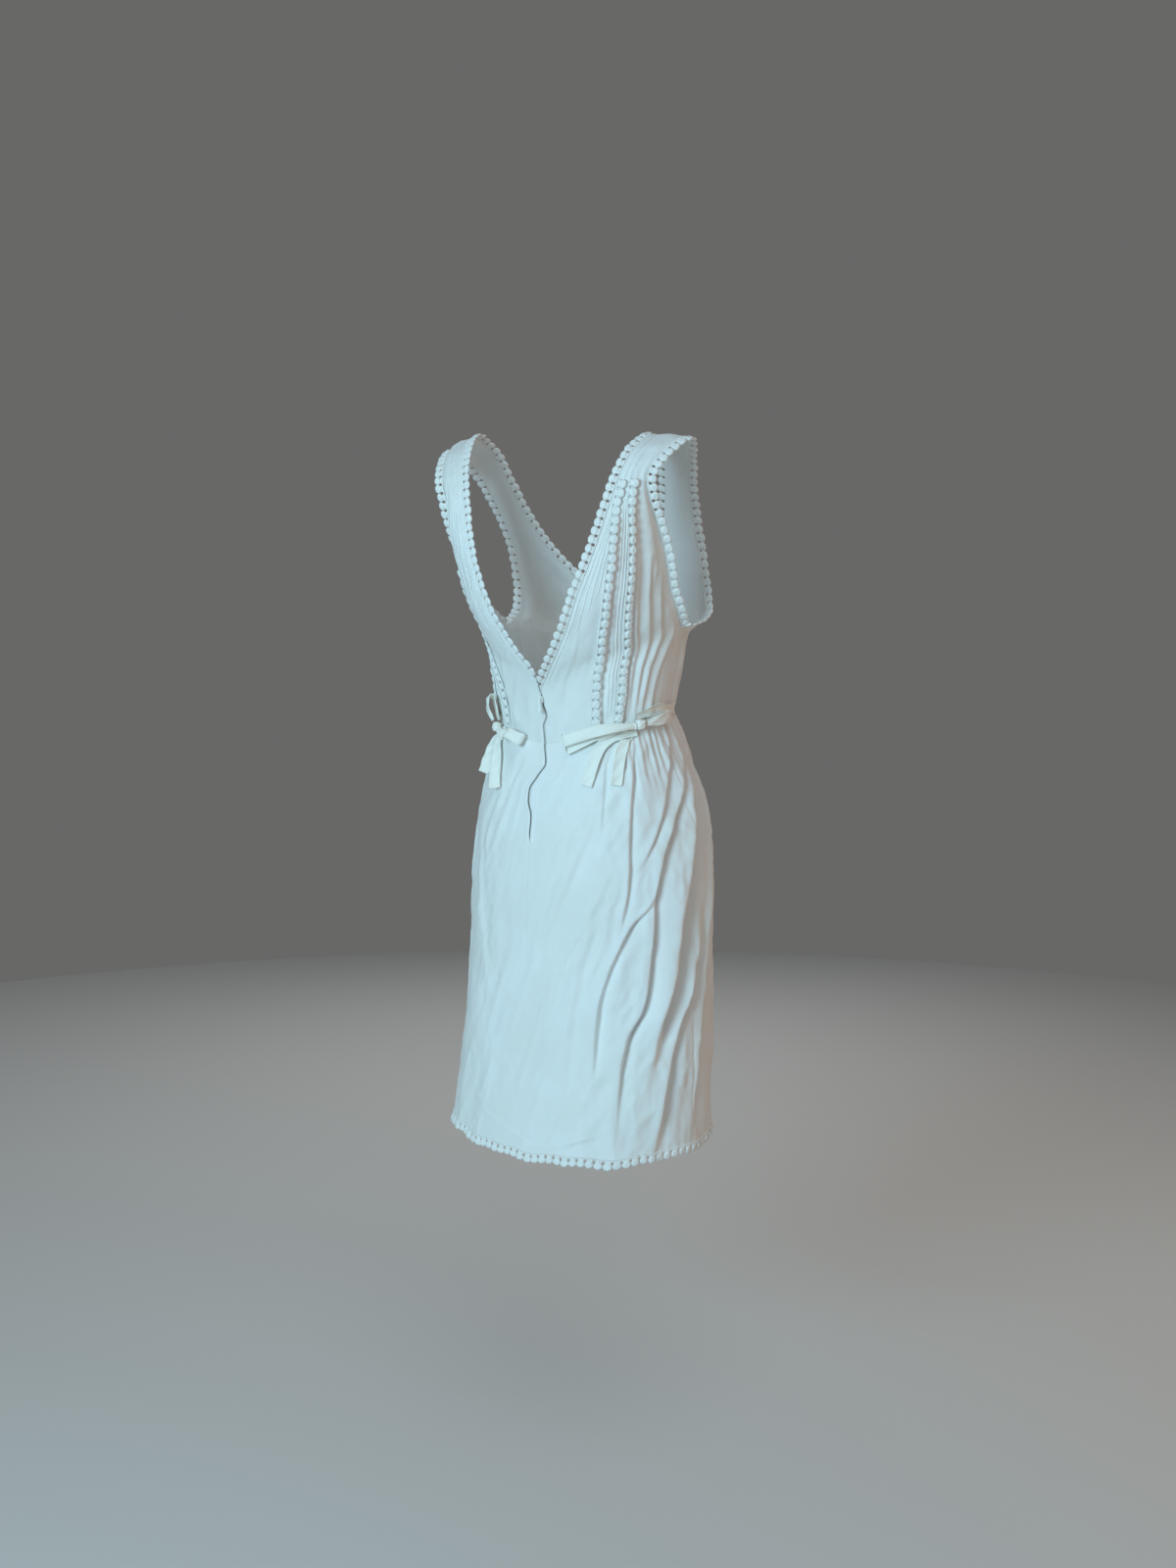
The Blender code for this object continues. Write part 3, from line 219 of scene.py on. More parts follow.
# Creases of the bodice, with a step that faces the armhole. Columns: side, shape as above, then the line as
# places up the bodice and across it.
BODICE_CREASES = (
    (RIGHT, 3, 3, 10, 10, ((0, 0.655), (0.09, 0.655), (0.185, 0.645), (0.33, 0.63), (0.505, 0.665),
     (0.7, 0.69))),
    (RIGHT, 2.4, 2.4, 8, 8, ((-0.02, 0.725), (0.12, 0.72), (0.28, 0.73), (0.46, 0.77), (0.66, 0.8))),
    (RIGHT, 2.6, 2.8, 8, 9, ((-0.02, 0.8), (0.1, 0.79), (0.24, 0.82), (0.4, 0.87), (0.54, 0.91))),
    (RIGHT, 2, 2.6, 8, 8, ((-0.02, 0.88), (0.1, 0.885), (0.22, 0.92), (0.3, 0.95))),
    (RIGHT, -4, 10, 14, 22, ((0.46, 0.74), (0.6, 0.74), (0.76, 0.76), (1, 0.78))),
    (RIGHT, 0.9, 3, 8, 8, ((-0.02, 0.1), (0.12, 0.13), (0.28, 0.16), (0.46, 0.11))),
    (LEFT, 1.4, 3, 10, 10, ((0, 0.25), (0.06, 0.27), (0.16, 0.34), (0.3, 0.27))),
    (LEFT, 3, 3, 6, 6, ((0.26, 0.7), (0.45, 0.775), (0.62, 0.8), (0.8, 0.83))),
    (LEFT, 3, 3, 9, 9, ((-0.02, 0.8), (0.18, 0.86), (0.4, 0.93))),
    (LEFT, 2.2, 3, 8, 8, ((-0.02, 0.9), (0.16, 0.92), (0.28, 0.96))),
    (RIGHT, 3, 4, 12, 12, ((1.5, 0.74), (1.74, 0.7), (2.02, 0.66))),
    (RIGHT, 2.8, 4, 11, 11, ((1.62, 0.88), (1.8, 0.84), (2.02, 0.8))),
    (RIGHT, 2, 4, 11, 11, ((1.66, 0.5), (1.84, 0.46), (2.02, 0.44))),
    (LEFT, 3, 4, 12, 12, ((1.5, 0.74), (1.74, 0.71), (2.02, 0.66))),
    (LEFT, 2.8, 4, 11, 11, ((1.6, 0.88), (1.8, 0.85), (2.02, 0.8))),
    (LEFT, 2, 4, 11, 11, ((1.68, 0.48), (1.84, 0.47), (2.02, 0.42))),
)

# Lines pressed into the cloth: depth and half width.
WAIST_LINE = (0.0002, 0.0020)
SIDE_LINE = (0.0005, 0.0012)
BACK_LINE = (0.0004, 0.0012)
HEM_LINE = (0.0006, 0.0012)
HEM_DEPTH = 0.017

# Waves of the hem up and down: height, number round the body, start. Then the heights of the waist's
# gathers and of the puckers beside the zip with their spacing, and the share of a crease that runs out.
HEM_WAVES = ((0.0013, 9, 0.6), (0.0010, 17, 2.0))
GATHER, PUCKER, PUCKER_PITCH = 0.0009, 0.0016, 0.0056
FOLD_RAMP = 0.25

# The cloth's rolled lips beside the zip: distance of the crest from the middle, half width, height on the
# left and what the right one has more, then depth and half width of the groove between them.
LIP_AT, LIP_WIDTH, LIP, LIP_MORE = 0.0040, 0.0024, 0.0008, 0.0012
GROOVE, GROOVE_WIDTH = 0.0016, 0.0022

# Wear creases: height, cell size and seed. Ridges are sharper and slant down to the left.
CRUMPLE = (
    (0.0014, (0.050, 0.050, 0.090), 11),
    (0.0010, (0.020, 0.020, 0.050), 12),
    (0.0006, (0.009, 0.009, 0.014), 13),
)
RIDGES = ((0.0016, (0.022, 0.022, 0.085), 14), (0.0007, (0.011, 0.011, 0.030), 15))
RIDGE_SLANT = 0.35


def lookup(table, place):
    """Read a table between its rows, along a smooth curve that never overshoots them."""
    rows = np.array(table, float)
    keys = rows[:, 0]
    secants = np.diff(rows, axis=0) / np.diff(keys)[:, None]
    before, after = secants[:-1], secants[1:]
    same_way = before * after > 0
    inner = np.where(same_way, 2 * before * after / np.where(same_way, before + after, 1), 0)
    slopes = np.concatenate([secants[:1], inner, secants[-1:]])
    place = np.asarray(place, float)
    row = np.clip(np.searchsorted(keys, place, side="right") - 1, 0, len(keys) - 2)
    step = (keys[row + 1] - keys[row])[..., None]
    f = np.clip((place[..., None] - keys[row][..., None]) / step, 0, 1)
    start, end = rows[row], rows[row + 1]
    rise = f * (1 - f) ** 2 * step * slopes[row] + f * f * (f - 1) * step * slopes[row + 1]
    return (1 + 2 * f) * (1 - f) ** 2 * start + f * f * (3 - 2 * f) * end + rise


def posed(points):
    """Lean and turn points of the upright dress."""
    row = lookup(POSE, -points[..., 2])
    turn = np.radians(row[..., 3])
    c, s = np.cos(turn), np.sin(turn)
    x = points[..., 0] * c - points[..., 1] * s + row[..., 1]
    y = points[..., 0] * s + points[..., 1] * c + row[..., 2]
    return np.stack([x, y, points[..., 2]], -1)


def unit(vectors):
    return vectors / np.maximum(np.linalg.norm(vectors, axis=-1, keepdims=True), 1e-12)


def smooth(value, start, end):
    """Nothing at start and one at end, with a soft way between."""
    f = np.clip((value - start) / (end - start), 0, 1)
    return f * f * (3 - 2 * f)


def hump(distance, half_width):
    return np.exp(-(distance / half_width) ** 2)


def noise(points, cell, seed):
    """Soft random heights between -1 and 1 that change over about one cell."""
    table = np.random.default_rng(seed).uniform(-1, 1, 4096)
    at = points / np.asarray(cell)
    low = np.floor(at).astype(np.int64)
    f = at - low
    f = f * f * (3 - 2 * f)
    total = np.zeros(points.shape[:-1])
    for corner in itertools.product((0, 1), repeat=3):
        cells = (low + corner) * np.array([73856093, 19349663, 83492791])
        index = (cells[..., 0] ^ cells[..., 1] ^ cells[..., 2]) & 4095
        weight = np.where(np.array(corner) == 1, f, 1 - f).prod(-1)
        total += table[index] * weight
    return total


def section(inner, outer, bulge, across):
    """One cross curve: a conic from the inner to the outer end."""
    middle = (inner + outer) / 2
    corner = np.stack([outer[..., 0], inner[..., 1], middle[..., 2]], -1)
    control = middle + bulge[..., None] * (corner - middle)
    v = across[..., None]
    return (1 - v) ** 2 * inner + 2 * v * (1 - v) * control + v * v * outer


def plain_bodice(side, s, v):
    row, uneven = lookup(BODICE, s), lookup(UNEVEN, s)
    inner = np.stack([row[..., 1], row[..., 2], -row[..., 3]], -1)
    outer = np.stack([row[..., 4], row[..., 5], -row[..., 6]], -1)
    if side == LEFT:
        inner[..., 0] -= row[..., 8]
        outer[..., 0] -= uneven[..., 2]
        outer[..., 1] += uneven[..., 3]
    else:
        inner[..., 2] -= uneven[..., 1]
        outer[..., 2] += TIP_SHARE * uneven[..., 1]
    points = section(inner, outer, row[..., 7], v)
    return points * np.array([side, 1, 1])


def wrapped(u):
    """A place round the skirt, brought to between -2 and 2."""
    return (u + 2) % 4 - 2


def plain_skirt(u, t):
    u = wrapped(u)
    row = lookup(SKIRT, t)
    back = np.abs(u) <= 1
    zero = np.zeros(row.shape[:-1])
    inner = np.stack([zero, np.where(back, row[..., 1], row[..., 5]),
                      -np.where(back, row[..., 2], row[..., 6])], -1)
    outer = np.stack([row[..., 3], zero, -row[..., 4]], -1)
    across = np.where(back, np.abs(u), 2 - np.abs(u))
    points = section(inner, outer, np.full_like(zero, SKIRT_BULGE), across)
    points[..., 0] *= np.where(u < 0, -1, 1)
    return points


def step_crease(x, depth, step, before, after):
    """A fold in profile, its shape in millimetres: a soft crest, a step down at zero and a soft trough."""
    x = x / MM
    reach = np.where(x < 0, before, after)
    return -depth * MM * np.tanh(x / step) * np.exp(-(x / reach) ** 2)


def run_out(place, line):
    """One along a line of places, falling softly to nothing before both its ends."""
    start, end = line[0][0], line[-1][0]
    ramp = FOLD_RAMP * (end - start)
    return smooth(place, start, start + ramp) * (1 - smooth(place, end - ramp, end))


def quarter_width(t):
    """Metres round the skirt in one of its four quarters."""
    return QUARTER * (WAIST_QUARTER + (1 - WAIST_QUARTER) * np.clip(t / HIP, 0, 1))


def pressed(distance, line):
    return -line[0] * hump(distance, line[1])


def zip_lips(gap, height):
    return height * hump(gap - LIP_AT, LIP_WIDTH) - GROOVE * hump(gap, GROOVE_WIDTH)


def skirt_relief(u, t, base):
    """Height of the cloth above the plain skirt: folds, creases, crumple, seams and zip."""
    width = quarter_width(t)
    total = np.zeros_like(t)
    for *shape, line in CREASES:
        x = -wrapped(u - lookup(line, t)[..., 1]) * width
        total += step_crease(x, *shape) * run_out(t, line)
    for height, half_width, line in FOLDS:
        x = wrapped(u - lookup(line, t)[..., 1]) * width
        total += height * MM * hump(x, half_width * MM) * run_out(t, line)
    total *= smooth(t, 0, 0.05)
    calm = smooth(np.abs(wrapped(u)), 0.0, 0.25) * 0.6 + 0.4
    total += crumple(base) * smooth(t, 0, 0.06) * calm
    total += gathers(u, t, base)
    total += zip_puckers(base, t)
    total += pressed(t * SKIRT_LENGTH, WAIST_LINE)
    for seam in (-1, 1):
        total += pressed(wrapped(u - seam) * width, SIDE_LINE)
    below_zip = smooth(t, ZIP_END, ZIP_END + 0.02) * (1 - 0.6 * smooth(t, 0.45, 0.6))
    total += pressed(wrapped(u) * width, BACK_LINE) * below_zip
    return total + pressed((1 - t) * SKIRT_LENGTH - HEM_DEPTH, HEM_LINE)


def gathers(u, t, base):
    """Short uneven puckers where the waist is drawn in by the ties."""
    angle = np.arctan2(base[..., 0], base[..., 1])
    wave = np.sin(angle * 61 + 1.7 * np.sin(angle * 13)) + 0.6 * np.sin(angle * 97 + 0.5)
    round_side = smooth(np.abs(wrapped(u)), 0.35, 0.75) * np.where(wrapped(u) < 0, 1.0, 0.5)
    return GATHER * wave * round_side * smooth(t, 0.0, 0.02) * (1 - smooth(t, 0.05, 0.20))


def zip_puckers(base, t):
    """Rolled lips along the zip's slit, and the fine puckers beside its bend."""
    x = -base[..., 0]
    open_zip = 1 - smooth(t, ZIP_END - 0.01, ZIP_END)
    lip = LIP + np.where(x > 0, LIP_MORE, 0.0) * smooth(t, 0.0, 0.05)
    waves = np.sin(x * 2 * math.pi / PUCKER_PITCH + 0.8)
    near = smooth(x, 0.0015, 0.004) * (1 - smooth(x, 0.010, 0.019))
    height = smooth(t, 0.07, 0.10) * (1 - smooth(t, 0.15, 0.20))
    return zip_lips(np.abs(x), lip) * open_zip + PUCKER * waves * near * height


def crumple(base):
    """Slight wear creases all over."""
    slanted = base + base[..., 2:3] * np.array([RIDGE_SLANT, 0.0, 0.0])
    soft = sum(height * noise(base, cell, seed) for height, cell, seed in CRUMPLE)
    return soft + sum(height * (1 - 2 * np.abs(noise(slanted, cell, seed))) for height, cell, seed in RIDGES)


def section_length(s):
    row = lookup(BODICE, s)
    return CURVE_SHARE * np.linalg.norm(row[..., 1:4] - row[..., 4:7], axis=-1)


def bodice_relief(side, s, v, base):
    """Height of the cloth above the plain bodice."""
    width = section_length(s)
    total = np.zeros_like(s)
    for crease_side, *shape, line in BODICE_CREASES:
        if crease_side == side:
            x = (v - lookup(line, s)[..., 1]) * width
            total += step_crease(x, *shape) * run_out(s, line)
    tuck = smooth(s, -0.02, 0.03) * (1 - smooth(s, STRIP_TOP[side] - 0.42, STRIP_TOP[side] - 0.14))
    across = lookup(STRIPS[side], s)
    for column, shape in enumerate(STRIP_TUCKS, 1):
        x = (v - across[..., column]) * width - STRIP_WIDTH / 2 - STRIP_GAP
        total += step_crease(x, *shape) * tuck
    inner, outer = v * width, (1 - v) * width
    seams = np.minimum(s, 2 - s) / PLACES_A_METRE
    total *= smooth(outer, 0.001, 0.012) * smooth(seams, 0.0, 0.012)
    total += crumple(base) * 0.7 * smooth(inner, 0.002, 0.02) * smooth(outer, 0.002, 0.02)
    total += pressed(seams, WAIST_LINE)
    below_arm = (s <= BACK_ARM) | (s >= FRONT_ARM)
    total += np.where(below_arm, pressed(outer, SIDE_LINE), 0)
    return total + zip_lips(inner, LIP) * (1 - smooth(s, 0.115, 0.14))


def skirt_normal(u, t):
    d = 1e-3
    along = plain_skirt(u, np.clip(t + d, 0, 1)) - plain_skirt(u, np.clip(t - d, 0, 1))
    across = plain_skirt(u + d, t) - plain_skirt(u - d, t)
    return unit(np.cross(across, along))


def bodice_normal(side, s, v):
    d = 1e-3
    along = plain_bodice(side, s + d, v) - plain_bodice(side, s - d, v)
    across = plain_bodice(side, s, v + d) - plain_bodice(side, s, v - d)
    normal = unit(np.cross(along, across)) * side
    below_arm = (s <= BACK_ARM + d) | (s >= FRONT_ARM - d)
    below_neck = (s <= BACK_V + d) | (s >= FRONT_V - d)
    normal[..., 0] = np.where((v < 0.01) & below_neck, 0.0, normal[..., 0])
    return unit(np.where(((v > 0.99) & below_arm)[..., None], (side, 0.0, 0.0), normal))


def swayed(points):
    """Push points near the zip sideways with it."""
    shift = lookup(ZIP_SWAY, -points[..., 2])[..., 1]
    moved = points.copy()
    moved[..., 0] += shift * hump(points[..., 0], 0.030) * (points[..., 1] > 0)
    return moved


def skirt(u, t, lift=0.0):
    u, t, lift = np.broadcast_arrays(*(np.asarray(a, float) for a in (u, t, lift)))
    base = plain_skirt(u, t)
    height = skirt_relief(u, t, base) + lift
    points = swayed(base + skirt_normal(u, t) * height[..., None])
    angle = np.arctan2(base[..., 0], base[..., 1])
    wave = sum(height * np.sin(angle * count + start) for height, count, start in HEM_WAVES)
    points[..., 2] += smooth(t, 0.85, 1.0) * wave
    return points


def bodice(side, s, v, lift=0.0):
    s, v, lift = np.broadcast_arrays(*(np.asarray(a, float) for a in (s, v, lift)))
    base = plain_bodice(side, s, v)
    height = bodice_relief(side, s, v, base) + lift
    return swayed(base + bodice_normal(side, s, v) * height[..., None])


def around(u, rise, lift=0.0, creased=False):
    """A point near the waist seam: round the body, up from the seam and out from the plain or creased
    cloth."""
    u = wrapped(np.asarray(u, float))
    u, rise, lift = np.broadcast_arrays(*(np.asarray(a, float) for a in (u, rise, lift)))
    down = np.clip(-rise / SKIRT_LENGTH, 0, 1)
    across = np.where(np.abs(u) <= 1, np.abs(u), 2 - np.abs(u))
    up = np.clip(rise, 0, 1) * PLACES_A_METRE
    place = np.where(np.abs(u) <= 1, up, 2 - up)
    if creased:
        below = skirt(u, down, lift)
        left, right = (bodice(side, place, across, lift) for side in (LEFT, RIGHT))
    else:
        out = lift[..., None]
        below = plain_skirt(u, down) + skirt_normal(u, down) * out
        left, right = (plain_bodice(side, place, across) + bodice_normal(side, place, across) * out
                       for side in (LEFT, RIGHT))
    above = np.where((u >= 0)[..., None], left, right)
    return np.where((rise > 0)[..., None], above, below)


def around_normal(u, rise):
    d = 1e-3
    across = around(u + d, rise) - around(u - d, rise)
    up = around(u, rise + d) - around(u, rise - d)
    return unit(np.cross(up, across))


def new_object(name, points, faces, material, uv=None):
    mesh = bpy.data.meshes.new(name)
    mesh.from_pydata(points.tolist(), [], faces)
    if uv is not None:
        layer = mesh.uv_layers.new(name="cloth")
        corners = np.zeros(len(mesh.loops), dtype=np.int32)
        mesh.loops.foreach_get("vertex_index", corners)
        layer.data.foreach_set("uv", uv[corners].astype(np.float32).ravel())
    mesh.materials.append(material)
    mesh.shade_smooth()
    made = bpy.data.objects.new(name, mesh)
    bpy.context.scene.collection.objects.link(made)
    return made


def dressed(piece, slot, *nodes, body="dress"):
    """Let a piece move with a body and stand for its CAD nodes. The slot is not used."""
    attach(piece, body)
    if nodes:
        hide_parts(*nodes)


def grid_mesh(points, flip, closed=False):
    """A grid's points as one list, and its faces. A closed grid joins its last column to its first."""
    index = np.arange(points[..., 0].size).reshape(points.shape[:2])
    if closed:
        index = np.concatenate([index, index[:, :1]], 1)
    a, b, c, d = index[:-1, :-1], index[1:, :-1], index[1:, 1:], index[:-1, 1:]
    quads = np.stack([d, c, b, a] if flip else [a, b, c, d], -1)
    return points.reshape(-1, 3), quads.reshape(-1, 4).tolist()


def give_thickness(piece, thickness=CLOTH):
    """Thicken a sheet inwards, with its border kept as a sharp corner so that seams don't shade dark."""
    mesh = piece.data
    edges = np.zeros(len(mesh.loops), dtype=np.int32)
    mesh.loops.foreach_get("edge_index", edges)
    border = np.bincount(edges, minlength=len(mesh.edges)) == 1
    mesh.edges.foreach_set("use_edge_sharp", border)
    shell = piece.modifiers.new("thickness", "SOLIDIFY")
    shell.thickness = thickness
    shell.offset = -1
    shell.use_even_offset = False


def spread(count, seam_at_end=True):
    """Places from 0 to 1, with a few close ones beside each edge that has a seam."""
    plain = np.linspace(0, 1, count)
    near = np.array([0.0, 0.0035, 0.007, 0.011, 0.016, 0.023, 0.033])
    end = 1 - near if seam_at_end else plain[plain >= 0.96]
    return np.unique(np.concatenate([near, plain[(plain > 0.04) & (plain < 0.96)], end]))


COTTON, CROCHET, TIE, ZIP_CLOTH, ZIP_METAL = "cotton", "crochet", "tie", "zip_tape", "zip_metal"


def add_node(tree, kind, **values):
    """Add a shader node. Each value is wired into the input of its name, or sets it or a property."""
    made = tree.nodes.new(kind)
    for key, value in values.items():
        name = key.replace("_", " ")
        if isinstance(value, bpy.types.NodeSocket):
            tree.links.new(value, made.inputs[name])
        elif hasattr(made, key):
            setattr(made, key, value)
        else:
            made.inputs[name].default_value = value
    return made


def noise_node(tree, place, scale, **values):
    return add_node(tree, "ShaderNodeTexNoise", Vector=place, Scale=scale, **values).outputs["Fac"]


def color_ramp(tree, shader, fac, *stops):
    """The shader's colour: two colours, each at its place, run into each other."""
    made = add_node(tree, "ShaderNodeValToRGB", Fac=fac)
    for stop, (place, color) in zip(made.color_ramp.elements, stops):
        stop.position = place
        stop.color = (*color, 1)
    tree.links.new(made.outputs["Color"], shader.inputs["Base Color"])


def new_material(name, **values):
    """A material with values on its shader, and its node tree and shader."""
    made = bpy.data.materials.new(name)
    made.use_nodes = True
    shader = made.node_tree.nodes["Principled BSDF"]
    for key, value in values.items():
        shader.inputs[key.replace("_", " ")].default_value = value
    return made, made.node_tree, shader


def yarn_material(name, color, stain, roughness, sheen, scale, strength, weave=0, creased=0.0):
    """Cotton yarn: slight colour change over the piece, fine creases, a raised weave and fibres."""
    made, tree, shader = new_material(name, Roughness=roughness, Specular_IOR_Level=0.25,
                                      Sheen_Weight=sheen, Sheen_Roughness=0.5)
    place = add_node(tree, "ShaderNodeTexCoord").outputs
    blotch = noise_node(tree, place["Object"], 9.0, Detail=3.0, Roughness=0.6)
    color_ramp(tree, shader, blotch, (0.35, stain), (0.62, color))
    slub = noise_node(tree, place["Object"], scale, Detail=2.0, Roughness=0.55)
    last = add_node(tree, "ShaderNodeBump", Height=slub, Strength=strength, Distance=0.0004)
    heights = []
    if creased:
        stretch = add_node(tree, "ShaderNodeMapping", Vector=place["Object"], Rotation=(0.0, 0.30, 0.0),
                           Scale=(1.0, 1.0, 0.32)).outputs["Vector"]
        for size, share in ((26.0, 1.0), (70.0, 0.45)):
            ridged = noise_node(tree, stretch, size, Detail=3.0, Roughness=0.5,
                                noise_type="RIDGED_MULTIFRACTAL")
            heights.append((ridged, creased * share, 0.0010))
    if weave:
        for way in ("X", "Y"):
            thread = add_node(tree, "ShaderNodeTexWave", bands_direction=way, Vector=place["UV"], Scale=weave,
                              Distortion=1.5, Detail=1.0)
            heights.append((thread.outputs["Fac"], 0.25, 0.00015))
    for height, share, distance in heights:
        last = add_node(tree, "ShaderNodeBump", Height=height, Normal=last.outputs["Normal"], Strength=share,
                        Distance=distance)
    tree.links.new(last.outputs["Normal"], shader.inputs["Normal"])
    return made


def metal_material(name):
    """White enamelled zip metal with worn, brushed patches."""
    made, tree, shader = new_material(name, Metallic=0.0, Coat_Weight=0.3)
    place = add_node(tree, "ShaderNodeTexCoord").outputs["Object"]
    wear = noise_node(tree, place, 400.0, Detail=3.0)
    color_ramp(tree, shader, wear, (0.30, (0.62, 0.62, 0.59)), (0.45, (0.92, 0.93, 0.90)))
    rough = add_node(tree, "ShaderNodeMapRange", Value=wear, To_Min=0.25, To_Max=0.5)
    tree.links.new(rough.outputs["Result"], shader.inputs["Roughness"])
    return made


def make_materials():
    cloth = {"roughness": 0.85, "sheen": 0.15, "scale": 420, "strength": 0.35, "weave": 260}
    return {
        COTTON: yarn_material("white_cotton", (0.87, 0.88, 0.875), (0.84, 0.845, 0.815),
                              creased=0.7, **cloth),
        CROCHET: yarn_material("crochet_cotton", (0.90, 0.905, 0.89), (0.87, 0.875, 0.85),
                               0.9, 0.25, 900, 0.5),
        TIE: yarn_material("tie_cotton", (0.94, 0.93, 0.87), (0.91, 0.90, 0.83), creased=0.5, **cloth),
        # The zip tape's grey-tan colour is painted shade: the tape is white cloth, darkened so that the slit
        # looks shadowed.
        ZIP_CLOTH: yarn_material("zip_tape_painted_shade", (0.62, 0.62, 0.58), (0.58, 0.58, 0.54),
                                 0.9, 0.1, 700, 0.3),
        ZIP_METAL: metal_material("white_zip_metal"),
    }


def stretched_sheet(made, node):
    """Finish a panel as a sheet of cloth: give it its thickness and let it stand for its CAD node."""
    give_thickness(made)
    dressed(made, COTTON, node)


def panel(node, points, uv, flip, looks):
    """One panel of cloth over a grid of upright points, with its own thickness."""
    points, faces = grid_mesh(points, flip)
    made = new_object("cloth_" + node, posed(points), faces, looks[COTTON], uv.reshape(-1, 2))
    stretched_sheet(made, node)


def skirt_panel(node, first, last, count, rows, looks):
    """A skirt panel between two places round the body, held just clear of the zip's slit."""
    share, down = spread(count), spread(rows, seam_at_end=False)[:, None]
    f, t = np.broadcast_arrays(share, down)
    slit = ZIP_OPEN * (1 - smooth(down, ZIP_END - 0.03, ZIP_END))
    from_first = slit if first == 0 else 0.0
    from_last = slit if last == 0 else 0.0
    u = first + f * (last - first) + ((1 - f) * from_first - f * from_last) / quarter_width(t)
    uv = np.stack([u * QUARTER, t * SKIRT_LENGTH], -1)
    panel(node, skirt(u, t), uv, True, looks)


def bodice_places(start, end, count):
    """Places up the bodice, with a few close ones beside the waist."""
    near = np.array([0.0030, 0.0060, 0.0100])
    return np.unique(np.concatenate([np.linspace(start, end, count), near if start == 0 else end - near]))


def bodice_grid(side, start, end, rows, columns):
    s = bodice_places(start, end, rows)[:, None]
    width = section_length(s)
    gap = np.where(s <= BACK_V, ZIP_OPEN, np.where(s < FRONT_V, SEAM / 2, 0.0))
    side_gap = np.where((s <= BACK_ARM) | (s >= FRONT_ARM), 0.0, SEAM / 2)
    low, high = gap / width, 1 - side_gap / width
    v = low + spread(columns) * (high - low)
    s = np.repeat(s, v.shape[1], 1)
    uv = np.stack([side * v * width, s / PLACES_A_METRE], -1)
    return bodice(side, s, v), uv


def make_bodice(looks):
    """Two backs, and the front joined down its centre."""
    for side, word in SIDES:
        points, uv = bodice_grid(side, 0.0, SHOULDER - SHOULDER_SEAM, 170, 118 if side == RIGHT else 90)
        panel("bodice_back_" + word, points, uv, side == RIGHT, looks)
    halves, maps = [], []
    for side in (LEFT, RIGHT):
        points, uv = bodice_grid(side, SHOULDER + SHOULDER_SEAM, 2.0, 170, 80)
        halves.append(grid_mesh(points, side == RIGHT))
        maps.append(uv.reshape(-1, 2))
    points, faces = joined(halves)
    made = new_object("cloth_bodice_front", posed(points), faces, looks[COTTON], np.concatenate(maps))
    made.modifiers.new("centre", "WELD").merge_threshold = 0.00005
    stretched_sheet(made, "bodice_front")


def make_skirt(looks):
    skirt_panel("skirt_back_right", -1, 0, 150, 200, looks)
    skirt_panel("skirt_back_left", 0, 1, 110, 180, looks)
    skirt_panel("skirt_front", 1, 3, 190, 180, looks)


def softened(values, reach=4):
    """Average each row with its neighbours along a line, ends kept."""
    kernel = np.ones(2 * reach + 1) / (2 * reach + 1)
    padded = np.concatenate([2 * values[:1] - values[reach:0:-1], values,
                             2 * values[-1:] - values[-2:-reach - 2:-1]])
    return np.stack([np.convolve(padded[:, k], kernel, "valid") for k in range(values.shape[1])], -1)


def edge_frame(points, normal, towards, closed=False, pull=0.0):
    """A line's points with the directions away from the cloth, turned by a pull, and out from it."""
    tangent = unit(np.gradient(points, axis=0))
    if closed:
        tangent[0] = tangent[-1] = unit(unit(points[1] - points[0]) + unit(points[-1] - points[-2]))
    away = unit(np.cross(normal, tangent))
    away *= np.sign((away * towards).sum(-1))[:, None]
    away += pull
    away = unit(away - tangent * (away * tangent).sum(-1, keepdims=True))
    out = np.cross(tangent, away)
    out *= np.sign((out * normal).sum(-1))[:, None]
    return points, unit(softened(away)), unit(softened(out))


def neck_edge(side):
    s = np.linspace(BACK_V, FRONT_V, 360)
    v = SEAM / 2 / section_length(s)
    towards = plain_bodice(side, s, v) - plain_bodice(side, s, v + 0.02)
    return edge_frame(softened(bodice(side, s, v), 2), bodice_normal(side, s, v), towards)


def armhole_pull(side, s):
    table, none = lookup(FLARE, s), np.zeros_like(s)
    return np.stack([table[:, 2], table[:, 3], none] if side == LEFT else [-table[:, 1], none, none], -1)


def armhole_edge(side):
    s = np.linspace(BACK_ARM, FRONT_ARM, 320)
    v = 1 - SEAM / 2 / section_length(s)
    towards = plain_bodice(side, s, v) - plain_bodice(side, s, v - 0.02)
    towards[(s < UNDERARM_BACK) | (s > UNDERARM_FRONT)] += (0, 0, 0.02)
    return edge_frame(softened(bodice(side, s, v), 2), bodice_normal(side, s, v), towards, True,
                      armhole_pull(side, s))


def hem_edge():
    u = np.linspace(-1, 3, 640)
    t = np.ones_like(u)
    return edge_frame(skirt(u, t), skirt_normal(u, t), np.array([[0, 0, -1.0]]))


def strip_edge(side, column):
    s = np.linspace(STRIPS[side][0][0], STRIP_TOP[side], 220)
    v = lookup(STRIPS[side], s)[..., column]
    points = bodice(side, s, v)
    towards = plain_bodice(side, s, v + 0.02) - plain_bodice(side, s, v)
    points, away, up = edge_frame(softened(points, 5), bodice_normal(side, s, v), towards)
    return points - away * STRIP_WIDTH / 2, away, up


def closed_faces(rings, sides):
    """Faces over rings of points from the bottom to the top, with a single point at each end."""
    faces = []
    last = 1 + rings * sides
    for j in range(sides):
        after = (j + 1) % sides
        faces.append((0, 1 + after, 1 + j))
        faces.append((last, last - sides + j, last - sides + after))
        for low in range(1, last - sides, sides):
            high = low + sides
            faces.append((high + j, low + j, low + after, high + after))
    return faces


